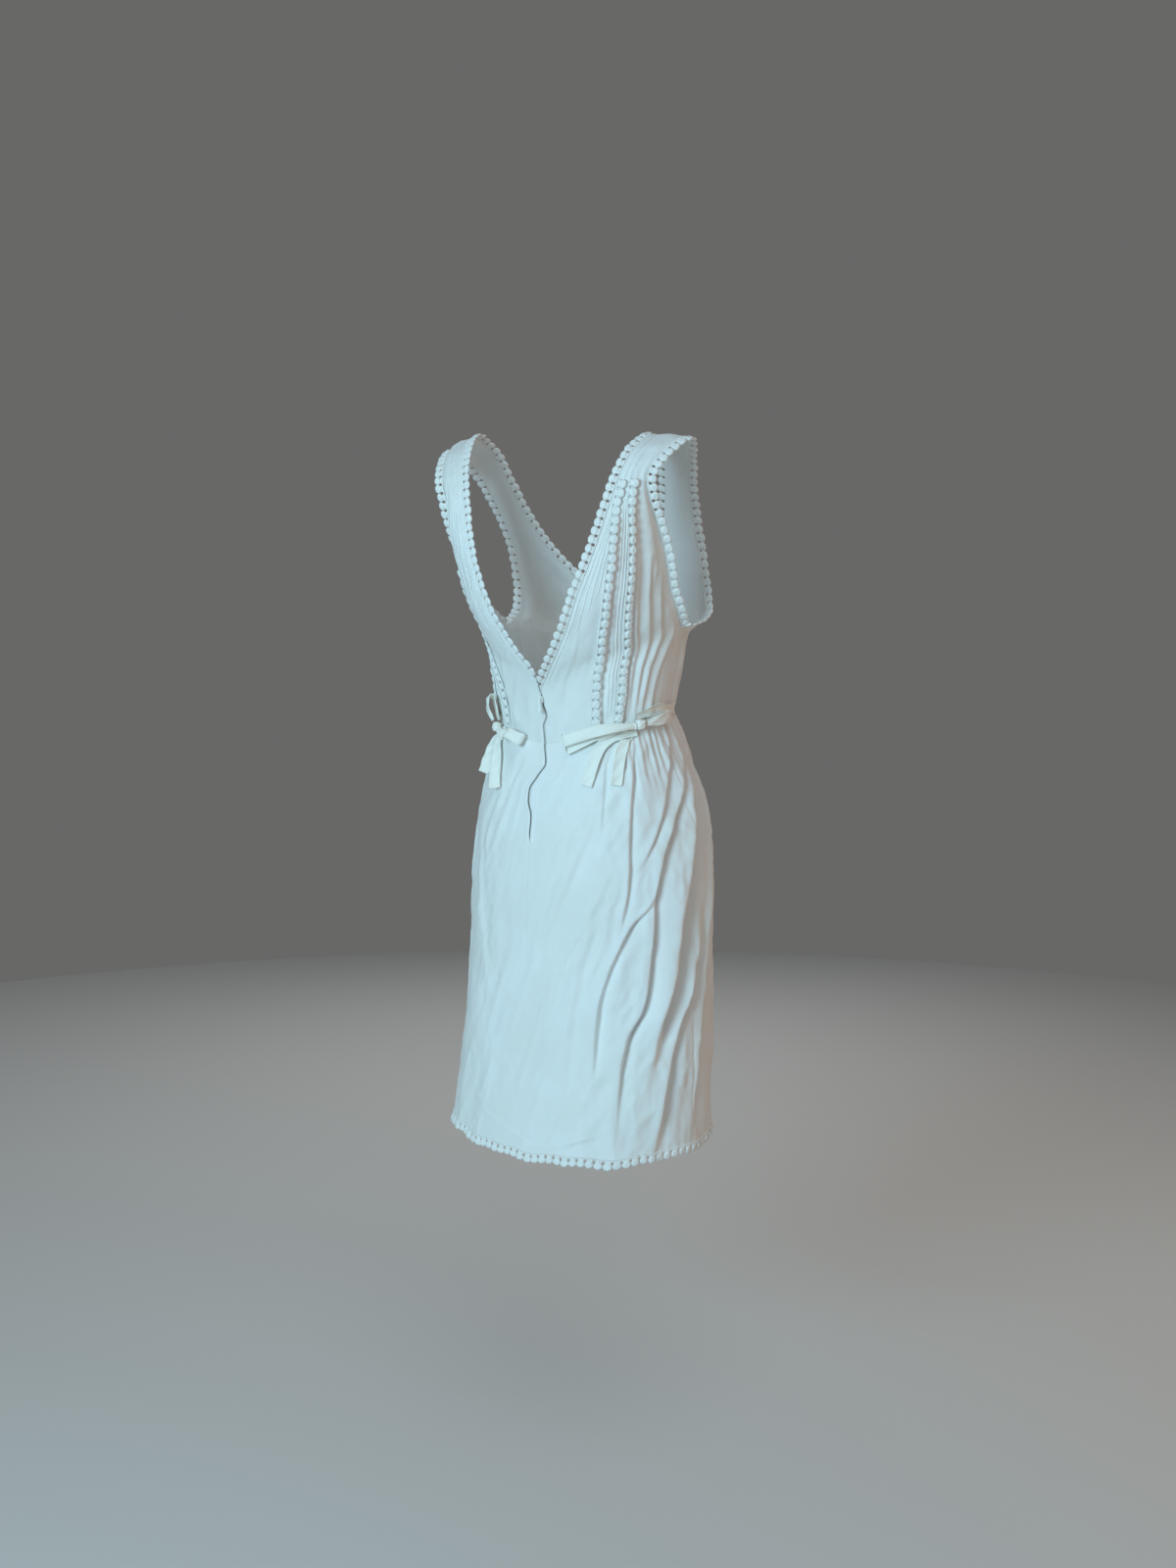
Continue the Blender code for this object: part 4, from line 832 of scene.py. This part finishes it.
def bead(centre, radii, slant=0.0, sides=8, rings=4):
    """A closed round bead, flattened and turned in the plane of the cloth."""
    points = [(0.0, 0.0, -1.0)]
    for level in -math.pi / 2 + math.pi * np.arange(1, rings) / rings:
        reach = math.cos(level)
        for turn in 2 * math.pi * np.arange(sides) / sides:
            points.append((reach * math.cos(turn), reach * math.sin(turn), math.sin(level)))
    points.append((0.0, 0.0, 1.0))
    x, y, z = (np.array(points) * np.array(radii)).T
    c, s = math.cos(slant), math.sin(slant)
    return np.stack([x * c - y * s, x * s + y * c, z], -1) + np.array(centre), closed_faces(rings - 1, sides)


def scallop_disc(centre, radii, height, sides=28):
    """A puffed round of stitches: a dome with ridges that run out to its rim, and a flat back."""
    rings = ((0.90, -0.25), (1.0, 0.20), (0.84, 0.72), (0.58, 0.98), (0.28, 1.0))
    points = [(0.0, 0.0, -0.35 * height)]
    for share, level in rings:
        for j in range(sides):
            turn = 2 * math.pi * j / sides
            ridge = (1 if j % 2 else -1) * share * (1 if level > 0 else 0)
            reach = share * (1 + 0.025 * ridge)
            points.append((radii[0] * reach * math.cos(turn), radii[1] * reach * math.sin(turn),
                           height * (level + 0.13 * ridge)))
    points.append((0.0, 0.0, 0.80 * height))
    return np.array(points) + np.array(centre), closed_faces(len(rings), sides)


def joined(parts):
    points, faces, count = [], [], 0
    for part_points, part_faces in parts:
        points.append(part_points)
        faces += [tuple(k + count for k in face) for face in part_faces]
        count += len(part_points)
    return np.concatenate(points), faces


def crochet_unit(narrow, height):
    """One scallop of the trim, x along the edge and y away from it: braid, posts and the round. An eyelet
    is left open between the posts of two neighbours."""
    parts = [scallop_disc((0, 0.0080 * narrow, 0.0002), (0.0061, 0.0046 * narrow), height)]
    for x in (-0.0029, -0.0010, 0.0010, 0.0029):
        parts.append(bead((x, 0.0036 * narrow, 0), (0.0014, 0.0027 * narrow, 0.0010)))
    for k in range(4):
        parts.append(bead((-0.0044 + k * 0.00295, 0.0012 * narrow, 0.0001), (0.0020, 0.0011, 0.0010), 0.5))
    return joined(parts)


def bend(unit_mesh, edge, pitch, rng, keep_side=0):
    """Repeat a small mesh along an edge and bend it to the edge's curve."""
    points, away, up = edge
    local, faces = unit_mesh
    steps = np.linalg.norm(np.diff(points, axis=0), axis=1)
    length = np.concatenate([[0], np.cumsum(steps)])
    count = max(1, round(length[-1] / pitch))
    pitch = length[-1] / count
    tilt = math.tan(UNIT_TILT)
    made, made_faces = [], []
    for i in range(count):
        wide = 1 + rng.uniform(-UNIT_WIDE, UNIT_WIDE)
        high = 1 + rng.uniform(-UNIT_HIGH, UNIT_HIGH)
        shift = UNIT_SHIFT * rng.uniform(-1, 1)
        lean = tilt * (1 + 0.5 * rng.uniform(-1, 1)) * smooth(local[:, 1], 0.002, 0.006)
        x = local[:, 0] * pitch / SCALLOP
        at = (i + 0.5) * pitch + x + shift
        y = local[:, 1] * wide
        z = local[:, 2] * high + x * lean
        base, outward, upward = (np.stack([np.interp(at, length, values[:, k]) for k in range(3)], -1)
                                 for values in (points, away, up))
        place = base + outward * y[:, None] + upward * z[:, None]
        if keep_side:
            place[:, 0] = keep_side * np.maximum(place[:, 0] * keep_side, SEAM)
        made.append(place)
        made_faces += [tuple(k + i * len(local) for k in face) for face in faces]
    return np.concatenate(made), made_faces


def crochet(name, edge, node, looks, seed, lift=TRIM_LIFT, narrow=1.0, height=TRIM_HEIGHT, keep_side=0):
    points, away, up = edge
    rng = np.random.default_rng(seed)
    place, faces = bend(crochet_unit(narrow, height), (points + up * lift, away, up), SCALLOP, rng, keep_side)
    dressed(new_object(name, posed(place), faces, looks[CROCHET]), CROCHET, node)


def make_trims(looks):
    for seed, (side, word) in enumerate(SIDES):
        crochet("lace_neck_" + word, neck_edge(side), "neck_trim_" + word, looks, 20 + seed, keep_side=side)
        crochet("lace_armhole_" + word, armhole_edge(side), "armhole_trim_" + word, looks, 30 + seed)
        for column in (1, 2):
            node = f"strip_{word}_{column}"
            crochet("lace_" + node, strip_edge(side, column), node, looks, 40 + 2 * seed + column,
                    lift=STRIP_RISE[side], narrow=STRIP_WIDTH / TRIM_REACH, height=STRIP_HEIGHT)
    crochet("lace_hem", hem_edge(), "hem_trim", looks, 50)


def raised_line(points, up, radius):
    """A round ridge along a line on the cloth, half sunk into it, thin at both its ends."""
    side = unit(np.cross(unit(np.gradient(points, axis=0)), up))
    from_start = np.arange(len(points))
    taper = np.clip(np.minimum(from_start, from_start[::-1]) / 4, 0, 1)[:, None] * 0.9 + 0.1
    turns = np.linspace(0, 2 * math.pi, RIDGE_SIDES + 1)[:-1]
    rings = [points + (side * math.cos(a) + up * math.sin(a)) * radius * taper for a in turns]
    grid, faces = grid_mesh(np.stack(rings, 1), False, closed=True)
    start_cap = range(RIDGE_SIDES)
    faces.append([*start_cap])
    faces.append([len(grid) - 1 - k for k in start_cap])
    return grid, faces


RIDGE_SIDES = 6
PINTUCK_RADIUS = 0.0008

# Columns of the pintucks of each back: where the line starts and ends up the bodice, the two lines it runs
# between (0 neck edge, 1 first strip, 2 second strip), the share of the way, and an offset in metres.
PINTUCKS = (
    (0.20, 0.99, 0, 1, 0.00, 0.0062),
    (0.40, 0.97, 0, 1, 0.22, 0.0050),
    (0.46, 0.96, 0, 1, 0.44, 0.0035),
    (0.52, 0.94, 0, 1, 0.66, 0.0020),
    (0.05, 0.95, 1, 2, 0.46, 0.0),
    (0.05, 0.93, 1, 2, 0.60, 0.0),
    (0.05, 0.91, 1, 2, 0.74, 0.0),
    (0.60, 0.98, 0, 1, 0.88, 0.0010),
)


def pintuck(side, start, end, first, second, share, offset):
    s = np.linspace(start, end, 200)
    lines = np.concatenate([np.zeros((len(s), 1)), lookup(STRIPS[side], s)[:, 1:]], 1)
    v = lines[:, first] * (1 - share) + lines[:, second] * share + offset / section_length(s)
    return bodice(side, s, v), bodice_normal(side, s, v)


def make_pintucks(looks):
    for side, word in SIDES:
        points, faces = joined([raised_line(*pintuck(side, *row), PINTUCK_RADIUS) for row in PINTUCKS])
        dressed(new_object("pintucks_" + word, posed(points), faces, looks[COTTON]), COTTON)


# Stitches: their spacing, and how far each row lies from the hem, the zip and the neck edge.
STITCH_PITCH, BAR_PITCH = 0.0030, 0.0022
HEM_ROW, ZIP_ROW, NECK_ROW = 0.0155, 0.0075, 0.0028


def stitch_row(points, up, pitch=STITCH_PITCH):
    edge = edge_frame(points, up, np.cross(up, np.gradient(points, axis=0)))
    stitch = bead((0, 0, 0.0001), (0.00105, 0.00030, 0.00028), 0.0, 6, 3)
    return bend(stitch, edge, pitch, np.random.default_rng(7))


def skirt_stitches(u, t, pitch=STITCH_PITCH):
    u, t = np.broadcast_arrays(u, t)
    return stitch_row(skirt(u, t), skirt_normal(u, t), pitch)


def bodice_stitches(side, s, inset):
    v = inset / section_length(s)
    return stitch_row(bodice(side, s, v), bodice_normal(side, s, v))


def make_stitching(looks):
    """Rows of stitches above the hem's trim, beside the zip, across its foot and under the neck edge."""
    parts = [skirt_stitches(np.linspace(-1, 2.99, 700), 1 - HEM_ROW / SKIRT_LENGTH)]
    for side in (LEFT, RIGHT):
        t = np.linspace(0.012, ZIP_END + 0.01, 120)
        parts.append(skirt_stitches(side * ZIP_ROW / quarter_width(t), t))
        parts.append(bodice_stitches(side, np.linspace(0.01, 0.155, 60), ZIP_ROW))
        parts.append(bodice_stitches(side, np.linspace(0.18, 1.54, 400), NECK_ROW))
    parts.append(skirt_stitches(np.linspace(-0.036, 0.036, 12), ZIP_END + 0.012, BAR_PITCH))
    points, faces = joined(parts)
    dressed(new_object("stitching", posed(points), faces, looks[CROCHET]), COTTON)


def on_cloth(u, rise, lift=0.0):
    return around(u, rise, lift, creased=True)


# The two bows. Knot: place round the body, up from the waist. Loops: round and up of the far end, lift of
# the lower layer, height of the loop, how far it arches upwards, how far its two layers fan out, its gap to
# the knot, and whether it starts beside it (0) or above it (1). Tails and bands: place along, round, up,
# lift, turn from along the cloth to across it.
BOWS = (
    ("right", (-0.745, 0.004),
     ((-0.17, -0.006, 0.0070, 0.0075, 0.0055, 0.0070, 0.0008, 0),
      (-1.04, 0.004, 0.0070, 0.0060, 0.0000, 0.0010, 0.0008, 0)),
     (((0, -0.725, -0.0080, 0.0034, 0), (0.30, -0.53, -0.0060, 0.0044, 0), (0.50, -0.42, -0.0165, 0.0038, 0),
       (0.76, -0.355, -0.042, 0.0036, 0), (1, -0.32, -0.0625, 0.0034, 0)),
      ((0, -0.690, -0.0085, 0.0016, 0), (0.22, -0.63, -0.0130, 0.0016, 0), (0.50, -0.565, -0.031, 0.0025, 0),
       (0.80, -0.53, -0.053, 0.0034, 0), (1, -0.513, -0.066, 0.0036, 0))),
     ((0, -1.30, 0.0125, 0.0013, 0), (0.5, -1.02, 0.014, 0.0034, 0), (1, -0.72, 0.0135, 0.0030, 0))),
    ("left", (0.470, 0.003),
     ((0.14, -0.004, 0.0070, 0.0060, 0.0000, 0.0015, 0.0016, 0),
      (0.53, 0.038, 0.0070, 0.0080, 0.0000, 0.0000, 0.0019, 1)),
     (((0, 0.500, -0.0060, 0.0016, 0), (0.35, 0.535, -0.026, 0.0058, 0.35), (1, 0.490, -0.064, 0.0095, 0.8)),
      ((0, 0.450, -0.0040, 0.0031, 0), (0.40, 0.380, -0.034, 0.0072, 0.5), (1, 0.280, -0.074, 0.0085, 0.9))),
     ((0, 1.25, 0.0125, 0.0013, 0), (0.5, 0.92, 0.014, 0.0034, 0), (1, 0.515, 0.0125, 0.0053, 0))),
)
TAIL_ACROSS = (-0.81, -0.586, 0.0)
KNOT = (0.0125, 0.0110, 0.0130)
KNOT_LIFT = 0.0050
LOOP_BELLY = 0.0030
RIBBON_ROWS = 60

# A loop's lower layer ends and its upper one starts at these heights, over half the loop's height.
FAN_START, FAN_END = 0.2, 1.8


def ribbon(node, centre, across, width, cup, pinch, looks, seed):
    """A tie of folded cloth: rolled edges, a soft hollow across it and wrinkles where it is drawn in."""
    half = unit(across)
    up = unit(np.cross(unit(np.gradient(centre, axis=0)), half))
    share = np.linspace(-0.5, 0.5, 13)[None, :]
    along = np.linspace(0, 1, len(centre))[:, None]
    width, cup, pinch = (np.broadcast_to(a, len(centre))[:, None] for a in (width, cup, pinch))
    wide = width * (1 - 0.45 * pinch)
    creases = 0.0009 * np.sin(share * 19 + seed + 2.2 * np.sin(along * 5 + seed)) * pinch
    slack = 0.0005 * np.sin(along * 23 + share * 6 + seed) + cup * (4 * share ** 2 - 1)
    rolled = 0.00030 * hump(np.abs(share) - 0.43, 0.05)
    top = creases + slack + rolled + TIE_THICK / 2
    under = creases + slack - rolled - TIE_THICK / 2
    under[:, 0] = under[:, -1] = top[:, 0] - TIE_THICK * 0.6

    def skin(height):
        return centre[:, None] + half[:, None] * (wide * share)[..., None] + up[:, None] * height[..., None]

    ring = np.concatenate([skin(top), skin(under)[:, ::-1]], 1)
    points, faces = grid_mesh(ring, False, closed=True)
    count = ring.shape[1]
    for k in range(count // 2 - 1):
        cap = (k, k + 1, count - 2 - k, count - 1 - k)
        faces.append(cap[::-1])
        faces.append([len(points) - count + n for n in cap])
    dressed(new_object("ribbon_" + node, posed(points), faces, looks[TIE]), TIE, node)


def laid_tie(node, rows, looks, seed, knot_at_start):
    """A band or tail: a ribbon along a line on the cloth, drawn in where it meets the knot."""
    f = np.linspace(0, 1, RIBBON_ROWS)
    u, rise, lift, turn = lookup(rows, f)[:, 1:].T
    centre = softened(on_cloth(u, rise, lift), 3)
    tangent = unit(np.gradient(centre, axis=0))
    turn = turn[:, None]
    across = unit(np.cross(around_normal(u, rise), tangent)) * (1 - turn) + np.array(TAIL_ACROSS) * turn
    across -= tangent * (across * tangent).sum(-1, keepdims=True)
    pinch = 1 - smooth(f, 0.0, 0.45) if knot_at_start else smooth(f, 0.6, 1.0)
    ribbon(node, centre, across, TIE_WIDTH, 0.0007 + 0.0006 * f, pinch, looks, seed)


def tie_loop(node, start, end, lift, height, arch, fan, looks, seed):
    """A bow's loop: out along the cloth, round its end and back above itself."""
    chord = on_cloth(*end) - on_cloth(*start)
    length = np.linalg.norm(chord)
    radius = height / 2
    out = np.linspace(0, length - radius, 26)
    turn = np.radians(np.linspace(-90, 90, 17))
    along = np.concatenate([out[:-1], length - radius + radius * np.cos(turn), out[-2::-1]]) / length
    up = np.concatenate([0 * out[:-1], radius + radius * np.sin(turn), height + 0 * out[-2::-1]])
    up += LOOP_BELLY * np.sin(np.pi * along) * np.where(up > radius, 1, 0.2)
    layer = np.clip((up / radius - FAN_START) / (FAN_END - FAN_START), 0, 1)
    u = start[0] + (end[0] - start[0]) * along
    rise = start[1] + (end[1] - start[1]) * along
    rise += arch * np.sin(np.pi * along) + fan * along * (2 * layer - 1)
    centre = around(u, rise, lift + up)
    normal = around_normal((start[0] + end[0]) / 2, (start[1] + end[1]) / 2)
    across = np.broadcast_to(np.cross(normal, chord), centre.shape)
    width = TIE_WIDTH * (1 + 0.12 * smooth(along, 0.4, 1.0))
    ribbon(node, centre, across, width, 0.0008, 1 - smooth(along, 0.0, 0.5), looks, seed)


def upright(along):
    """A turn that brings x to a level direction and leaves z up."""
    up = Vector((0, 0, 1))
    return np.array(Matrix((along, up.cross(along), up)))


def knot(word, place, looks):
    """A tied knot: a rounded lump with the ribbon wrapped over it at a slant."""
    at = posed(on_cloth(*place, KNOT_LIFT + KNOT[1] / 2))
    out = posed(around(*place, 0.001)) - posed(around(*place))
    points, faces = bead((0, 0, 0), (1, 1, 1), 0.0, 40, 28)
    x, y, z = points.T
    square = (np.abs(points) ** 3).sum(-1, keepdims=True) ** (-1 / 3)
    wrap = np.sin((z * 0.9 + x * 0.5) * 9) * 0.00035 + 0.0006 * hump(z * 0.8 + x * 0.6, 0.42)
    shape = points * square * np.array(KNOT) * 0.48 + unit(points) * wrap[:, None]
    along = Vector((out[1], -out[0], 0)).normalized()
    made = new_object("ribbon_knot_" + word, shape @ upright(along) + at, faces, looks[TIE])
    dressed(made, TIE, "knot_" + word)


def make_bows(looks):
    for seed, (word, place, loops, tails, band) in enumerate(BOWS):
        knot(word, place, looks)
        nearby = around(place[0] + np.array([-0.01, 0.01]), place[1])
        place_a_metre = 0.02 / np.linalg.norm(nearby[1] - nearby[0])
        for number, (u, rise, *shape, gap, above) in enumerate(loops, 1):
            reach = (KNOT[0] / 2 + gap) * place_a_metre * (1 - above)
            start = (place[0] + math.copysign(reach, u - place[0]), place[1] + (KNOT[2] / 2 + gap) * above)
            tie_loop(f"loop_{word}_{number}", start, (u, rise), *shape, looks, seed * 7 + number)
        for number, rows in enumerate(tails, 1):
            laid_tie(f"tail_{word}_{number}", rows, looks, seed * 5 + number, True)
        laid_tie("tie_" + word, band, looks, seed * 3 + 9, False)


TAPE_WIDTH, TAPE_THICK, TAPE_DEPTH = 0.024, 0.0008, 0.0027
COIL_PITCH, COIL_SHIFT = 0.0012, 0.0006

# Metres across for each place round the body at the centre back, over the half width at the side seam.
WIDTH_A_PLACE = 1.95


def make_zip(looks):
    """The tape behind the slit with its coil, and the hanging pull tab."""
    rise = np.concatenate([np.linspace(0.058, 0.0012, 40), np.linspace(-0.0012, -SKIRT_LENGTH * ZIP_END, 80)])
    girth = lookup(SKIRT, np.clip(-rise / SKIRT_LENGTH, 0, 1))[:, 3]
    share = np.linspace(-1, 1, 13)
    u = (TAPE_WIDTH / 2 / (WIDTH_A_PLACE * girth))[:, None] * share
    rise = np.repeat(rise[:, None], len(share), 1)
    tape = swayed(around(u, rise, 0.0003 * np.cos(share * 9) - TAPE_DEPTH))
    points, faces = grid_mesh(tape, True)
    made = new_object("tape_zip", posed(points), faces, looks[ZIP_CLOTH])
    give_thickness(made, TAPE_THICK)
    dressed(made, ZIP_CLOTH, "zip_tape")
    normal = around_normal(u[:, 6], rise[:, 6])
    tooth = bead((0.0, 0.0006, 0.0005), (0.00042, 0.0013, 0.0006), 0.25, 6, 4)
    edge = edge_frame(tape[:, 6] - (COIL_SHIFT, 0, 0), normal, np.array([[1.0, 0, 0]]))
    points, faces = bend(tooth, edge, COIL_PITCH, np.random.default_rng(3))
    dressed(new_object("coil_zip", posed(points), faces, looks[ZIP_METAL]), ZIP_METAL)
    make_pull(looks)


# The pull tab, with its pin at zero: half widths and heights down its side, then radius and height of its
# round end and of its hole. Its eye: radius, half the wire's thickness, half its width.
PULL_SIDE = ((0.0013, -0.0010), (0.0016, -0.0040), (0.0021, -0.0100), (0.0023, -0.0160))
PULL_END, PULL_HOLE = (0.0023, -0.0170), (0.0009, -0.0163)
PULL_THICK, PULL_BEVEL = 0.0011, 0.00015
EYE_MIDDLE, EYE_WIRE, EYE_HALF = 0.00112, 0.00032, 0.0011
EYE_STEPS, WIRE_STEPS = 24, 8


def arc(radius, middle, turns):
    return [(radius * math.cos(a), middle + radius * math.sin(a)) for a in turns]


def eye_ring():
    """A flat ring round the pin."""
    i, j = np.mgrid[:EYE_STEPS, :WIRE_STEPS]
    a, b = 2 * math.pi * i / EYE_STEPS, 2 * math.pi * j / WIRE_STEPS
    reach = EYE_MIDDLE + EYE_WIRE * np.cos(b)
    points = np.stack([EYE_HALF * np.sin(b), reach * np.sin(a), reach * np.cos(a)], -1)
    here, after = i * WIRE_STEPS, (i + 1) % EYE_STEPS * WIRE_STEPS
    beside = (j + 1) % WIRE_STEPS
    faces = np.stack([here + j, after + j, after + beside, here + beside], -1)
    return points.reshape(-1, 3), faces.reshape(-1, 4).tolist()


def make_pull(looks):
    """The pull tab: a tapering plate with a rounded end and a small hole, on a ring round the pin."""
    joint = frame["record"]["behaviour"]["joints"][0]
    end = arc(*PULL_END, np.radians(np.linspace(-10, -170, 9)))
    outline = [*PULL_SIDE, *end, *((-x, z) for x, z in reversed(PULL_SIDE))]
    hole = arc(*PULL_HOLE, np.linspace(0, 2 * math.pi, 17)[:-1])
    curve = bpy.data.curves.new("tab_outline", "CURVE")
    curve.dimensions = "2D"
    curve.fill_mode = "BOTH"
    curve.extrude = PULL_THICK / 2 - PULL_BEVEL
    curve.bevel_depth = PULL_BEVEL
    curve.bevel_resolution = 2
    for line in (outline, hole):
        spline = curve.splines.new("POLY")
        spline.points.add(len(line) - 1)
        for point, (x, z) in zip(spline.points, line):
            point.co = (x, z, 0, 1)
        spline.use_cyclic_u = True
    drawn = bpy.data.objects.new("tab_outline", curve)
    bpy.context.scene.collection.objects.link(drawn)
    mesh = bpy.data.meshes.new_from_object(drawn.evaluated_get(bpy.context.evaluated_depsgraph_get()))
    plate = np.array([v.co for v in mesh.vertices])[:, (0, 2, 1)]
    plate_faces = [tuple(reversed(face.vertices)) for face in mesh.polygons]
    bpy.data.objects.remove(drawn, do_unlink=True)
    points, faces = joined([(plate, plate_faces), eye_ring()])
    points = points @ upright(Vector(joint["axis"]).normalized()) + np.array(joint["pos_m"])
    made = new_object("tab_zip", points, faces, looks[ZIP_METAL])
    made.data.set_sharp_from_angle(angle=math.radians(40))
    dressed(made, ZIP_METAL, "zip_pull", body="zip_pull")


BACK_DIRECTION = 35
CAMERA_PLACE = (-1.2896, 1.7827, -0.228)
CAMERA_DOWN = 6.08
FOCAL_PIXELS, IMAGE_HEIGHT, SENSOR = 1690, 1600, 36
FLOOR, FLOOR_RADIUS, FLOOR_SIDES = -1.46, 3.7, 96
LIGHT_AIM = Vector((0, 0, -0.45))


def direction(azimuth, elevation):
    """A direction in degrees from the camera's side: left positive, up positive."""
    a = math.radians(BACK_DIRECTION - azimuth)
    e = math.radians(elevation)
    return Vector((-math.sin(a) * math.cos(e), math.cos(a) * math.cos(e), math.sin(e)))


def area_light(name, azimuth, elevation, distance, size, power, color):
    lamp = bpy.data.lights.new(name, "AREA")
    lamp.shape = "DISK"
    lamp.size = size
    lamp.energy = power
    lamp.color = color
    made = bpy.data.objects.new(name, lamp)
    out = direction(azimuth, elevation)
    made.location = LIGHT_AIM + out * distance
    made.rotation_euler = out.to_track_quat("Z", "Y").to_euler()
    made.visible_camera = False
    bpy.context.scene.collection.objects.link(made)


def make_stage():
    """Pale floor, plain studio light and the camera."""
    mesh = bpy.data.meshes.new("floor")
    rim = [(FLOOR_RADIUS * math.cos(a), FLOOR_RADIUS * math.sin(a), FLOOR)
           for a in np.linspace(0, 2 * math.pi, FLOOR_SIDES + 1)[:-1]]
    mesh.from_pydata(rim, [], [tuple(range(FLOOR_SIDES))])
    floor = bpy.data.objects.new("floor", mesh)
    made, tree, shader = new_material("pale_floor", Roughness=0.9)
    grain = add_node(tree, "ShaderNodeTexNoise", Scale=3.0, Detail=4.0).outputs["Fac"]
    color_ramp(tree, shader, grain, (0.0, (0.64, 0.64, 0.63)), (1.0, (0.70, 0.70, 0.69)))
    mesh.materials.append(made)
    bpy.context.scene.collection.objects.link(floor)

    world = bpy.data.worlds.new("studio")
    world.use_nodes = True
    sky = world.node_tree.nodes["Background"]
    sky.inputs["Color"].default_value = (0.139, 0.138, 0.136, 1)
    sky.inputs["Strength"].default_value = 1.0
    bpy.context.scene.world = world
    bpy.context.scene.view_settings.view_transform = "Standard"

    area_light("key", 31, 12, 2.8, 1.3, 54, (0.50, 0.835, 1.0))
    area_light("camera_side", -10, 48, 3.0, 1.8, 13, (0.84, 0.94, 1.0))
    area_light("warm_side", -88, 2, 2.6, 1.0, 9, (1.0, 0.58, 0.32))
    area_light("front", 180, 28, 3.0, 2.4, 24, (1.0, 0.98, 0.95))

    lens = bpy.data.cameras.new("camera")
    lens.sensor_width = SENSOR
    lens.lens = SENSOR * FOCAL_PIXELS / IMAGE_HEIGHT
    camera = bpy.data.objects.new("camera", lens)
    camera.location = CAMERA_PLACE
    camera.rotation_euler = direction(0, CAMERA_DOWN).to_track_quat("Z", "Y").to_euler()
    bpy.context.scene.collection.objects.link(camera)
    bpy.context.scene.camera = camera


def main():
    looks = make_materials()
    make_stage()
    make_bodice(looks)
    make_skirt(looks)
    make_trims(looks)
    make_pintucks(looks)
    make_stitching(looks)
    make_bows(looks)
    make_zip(looks)
    frame["nodes"]["zip_slider"].material_slots[0].material = looks[ZIP_METAL]


main()
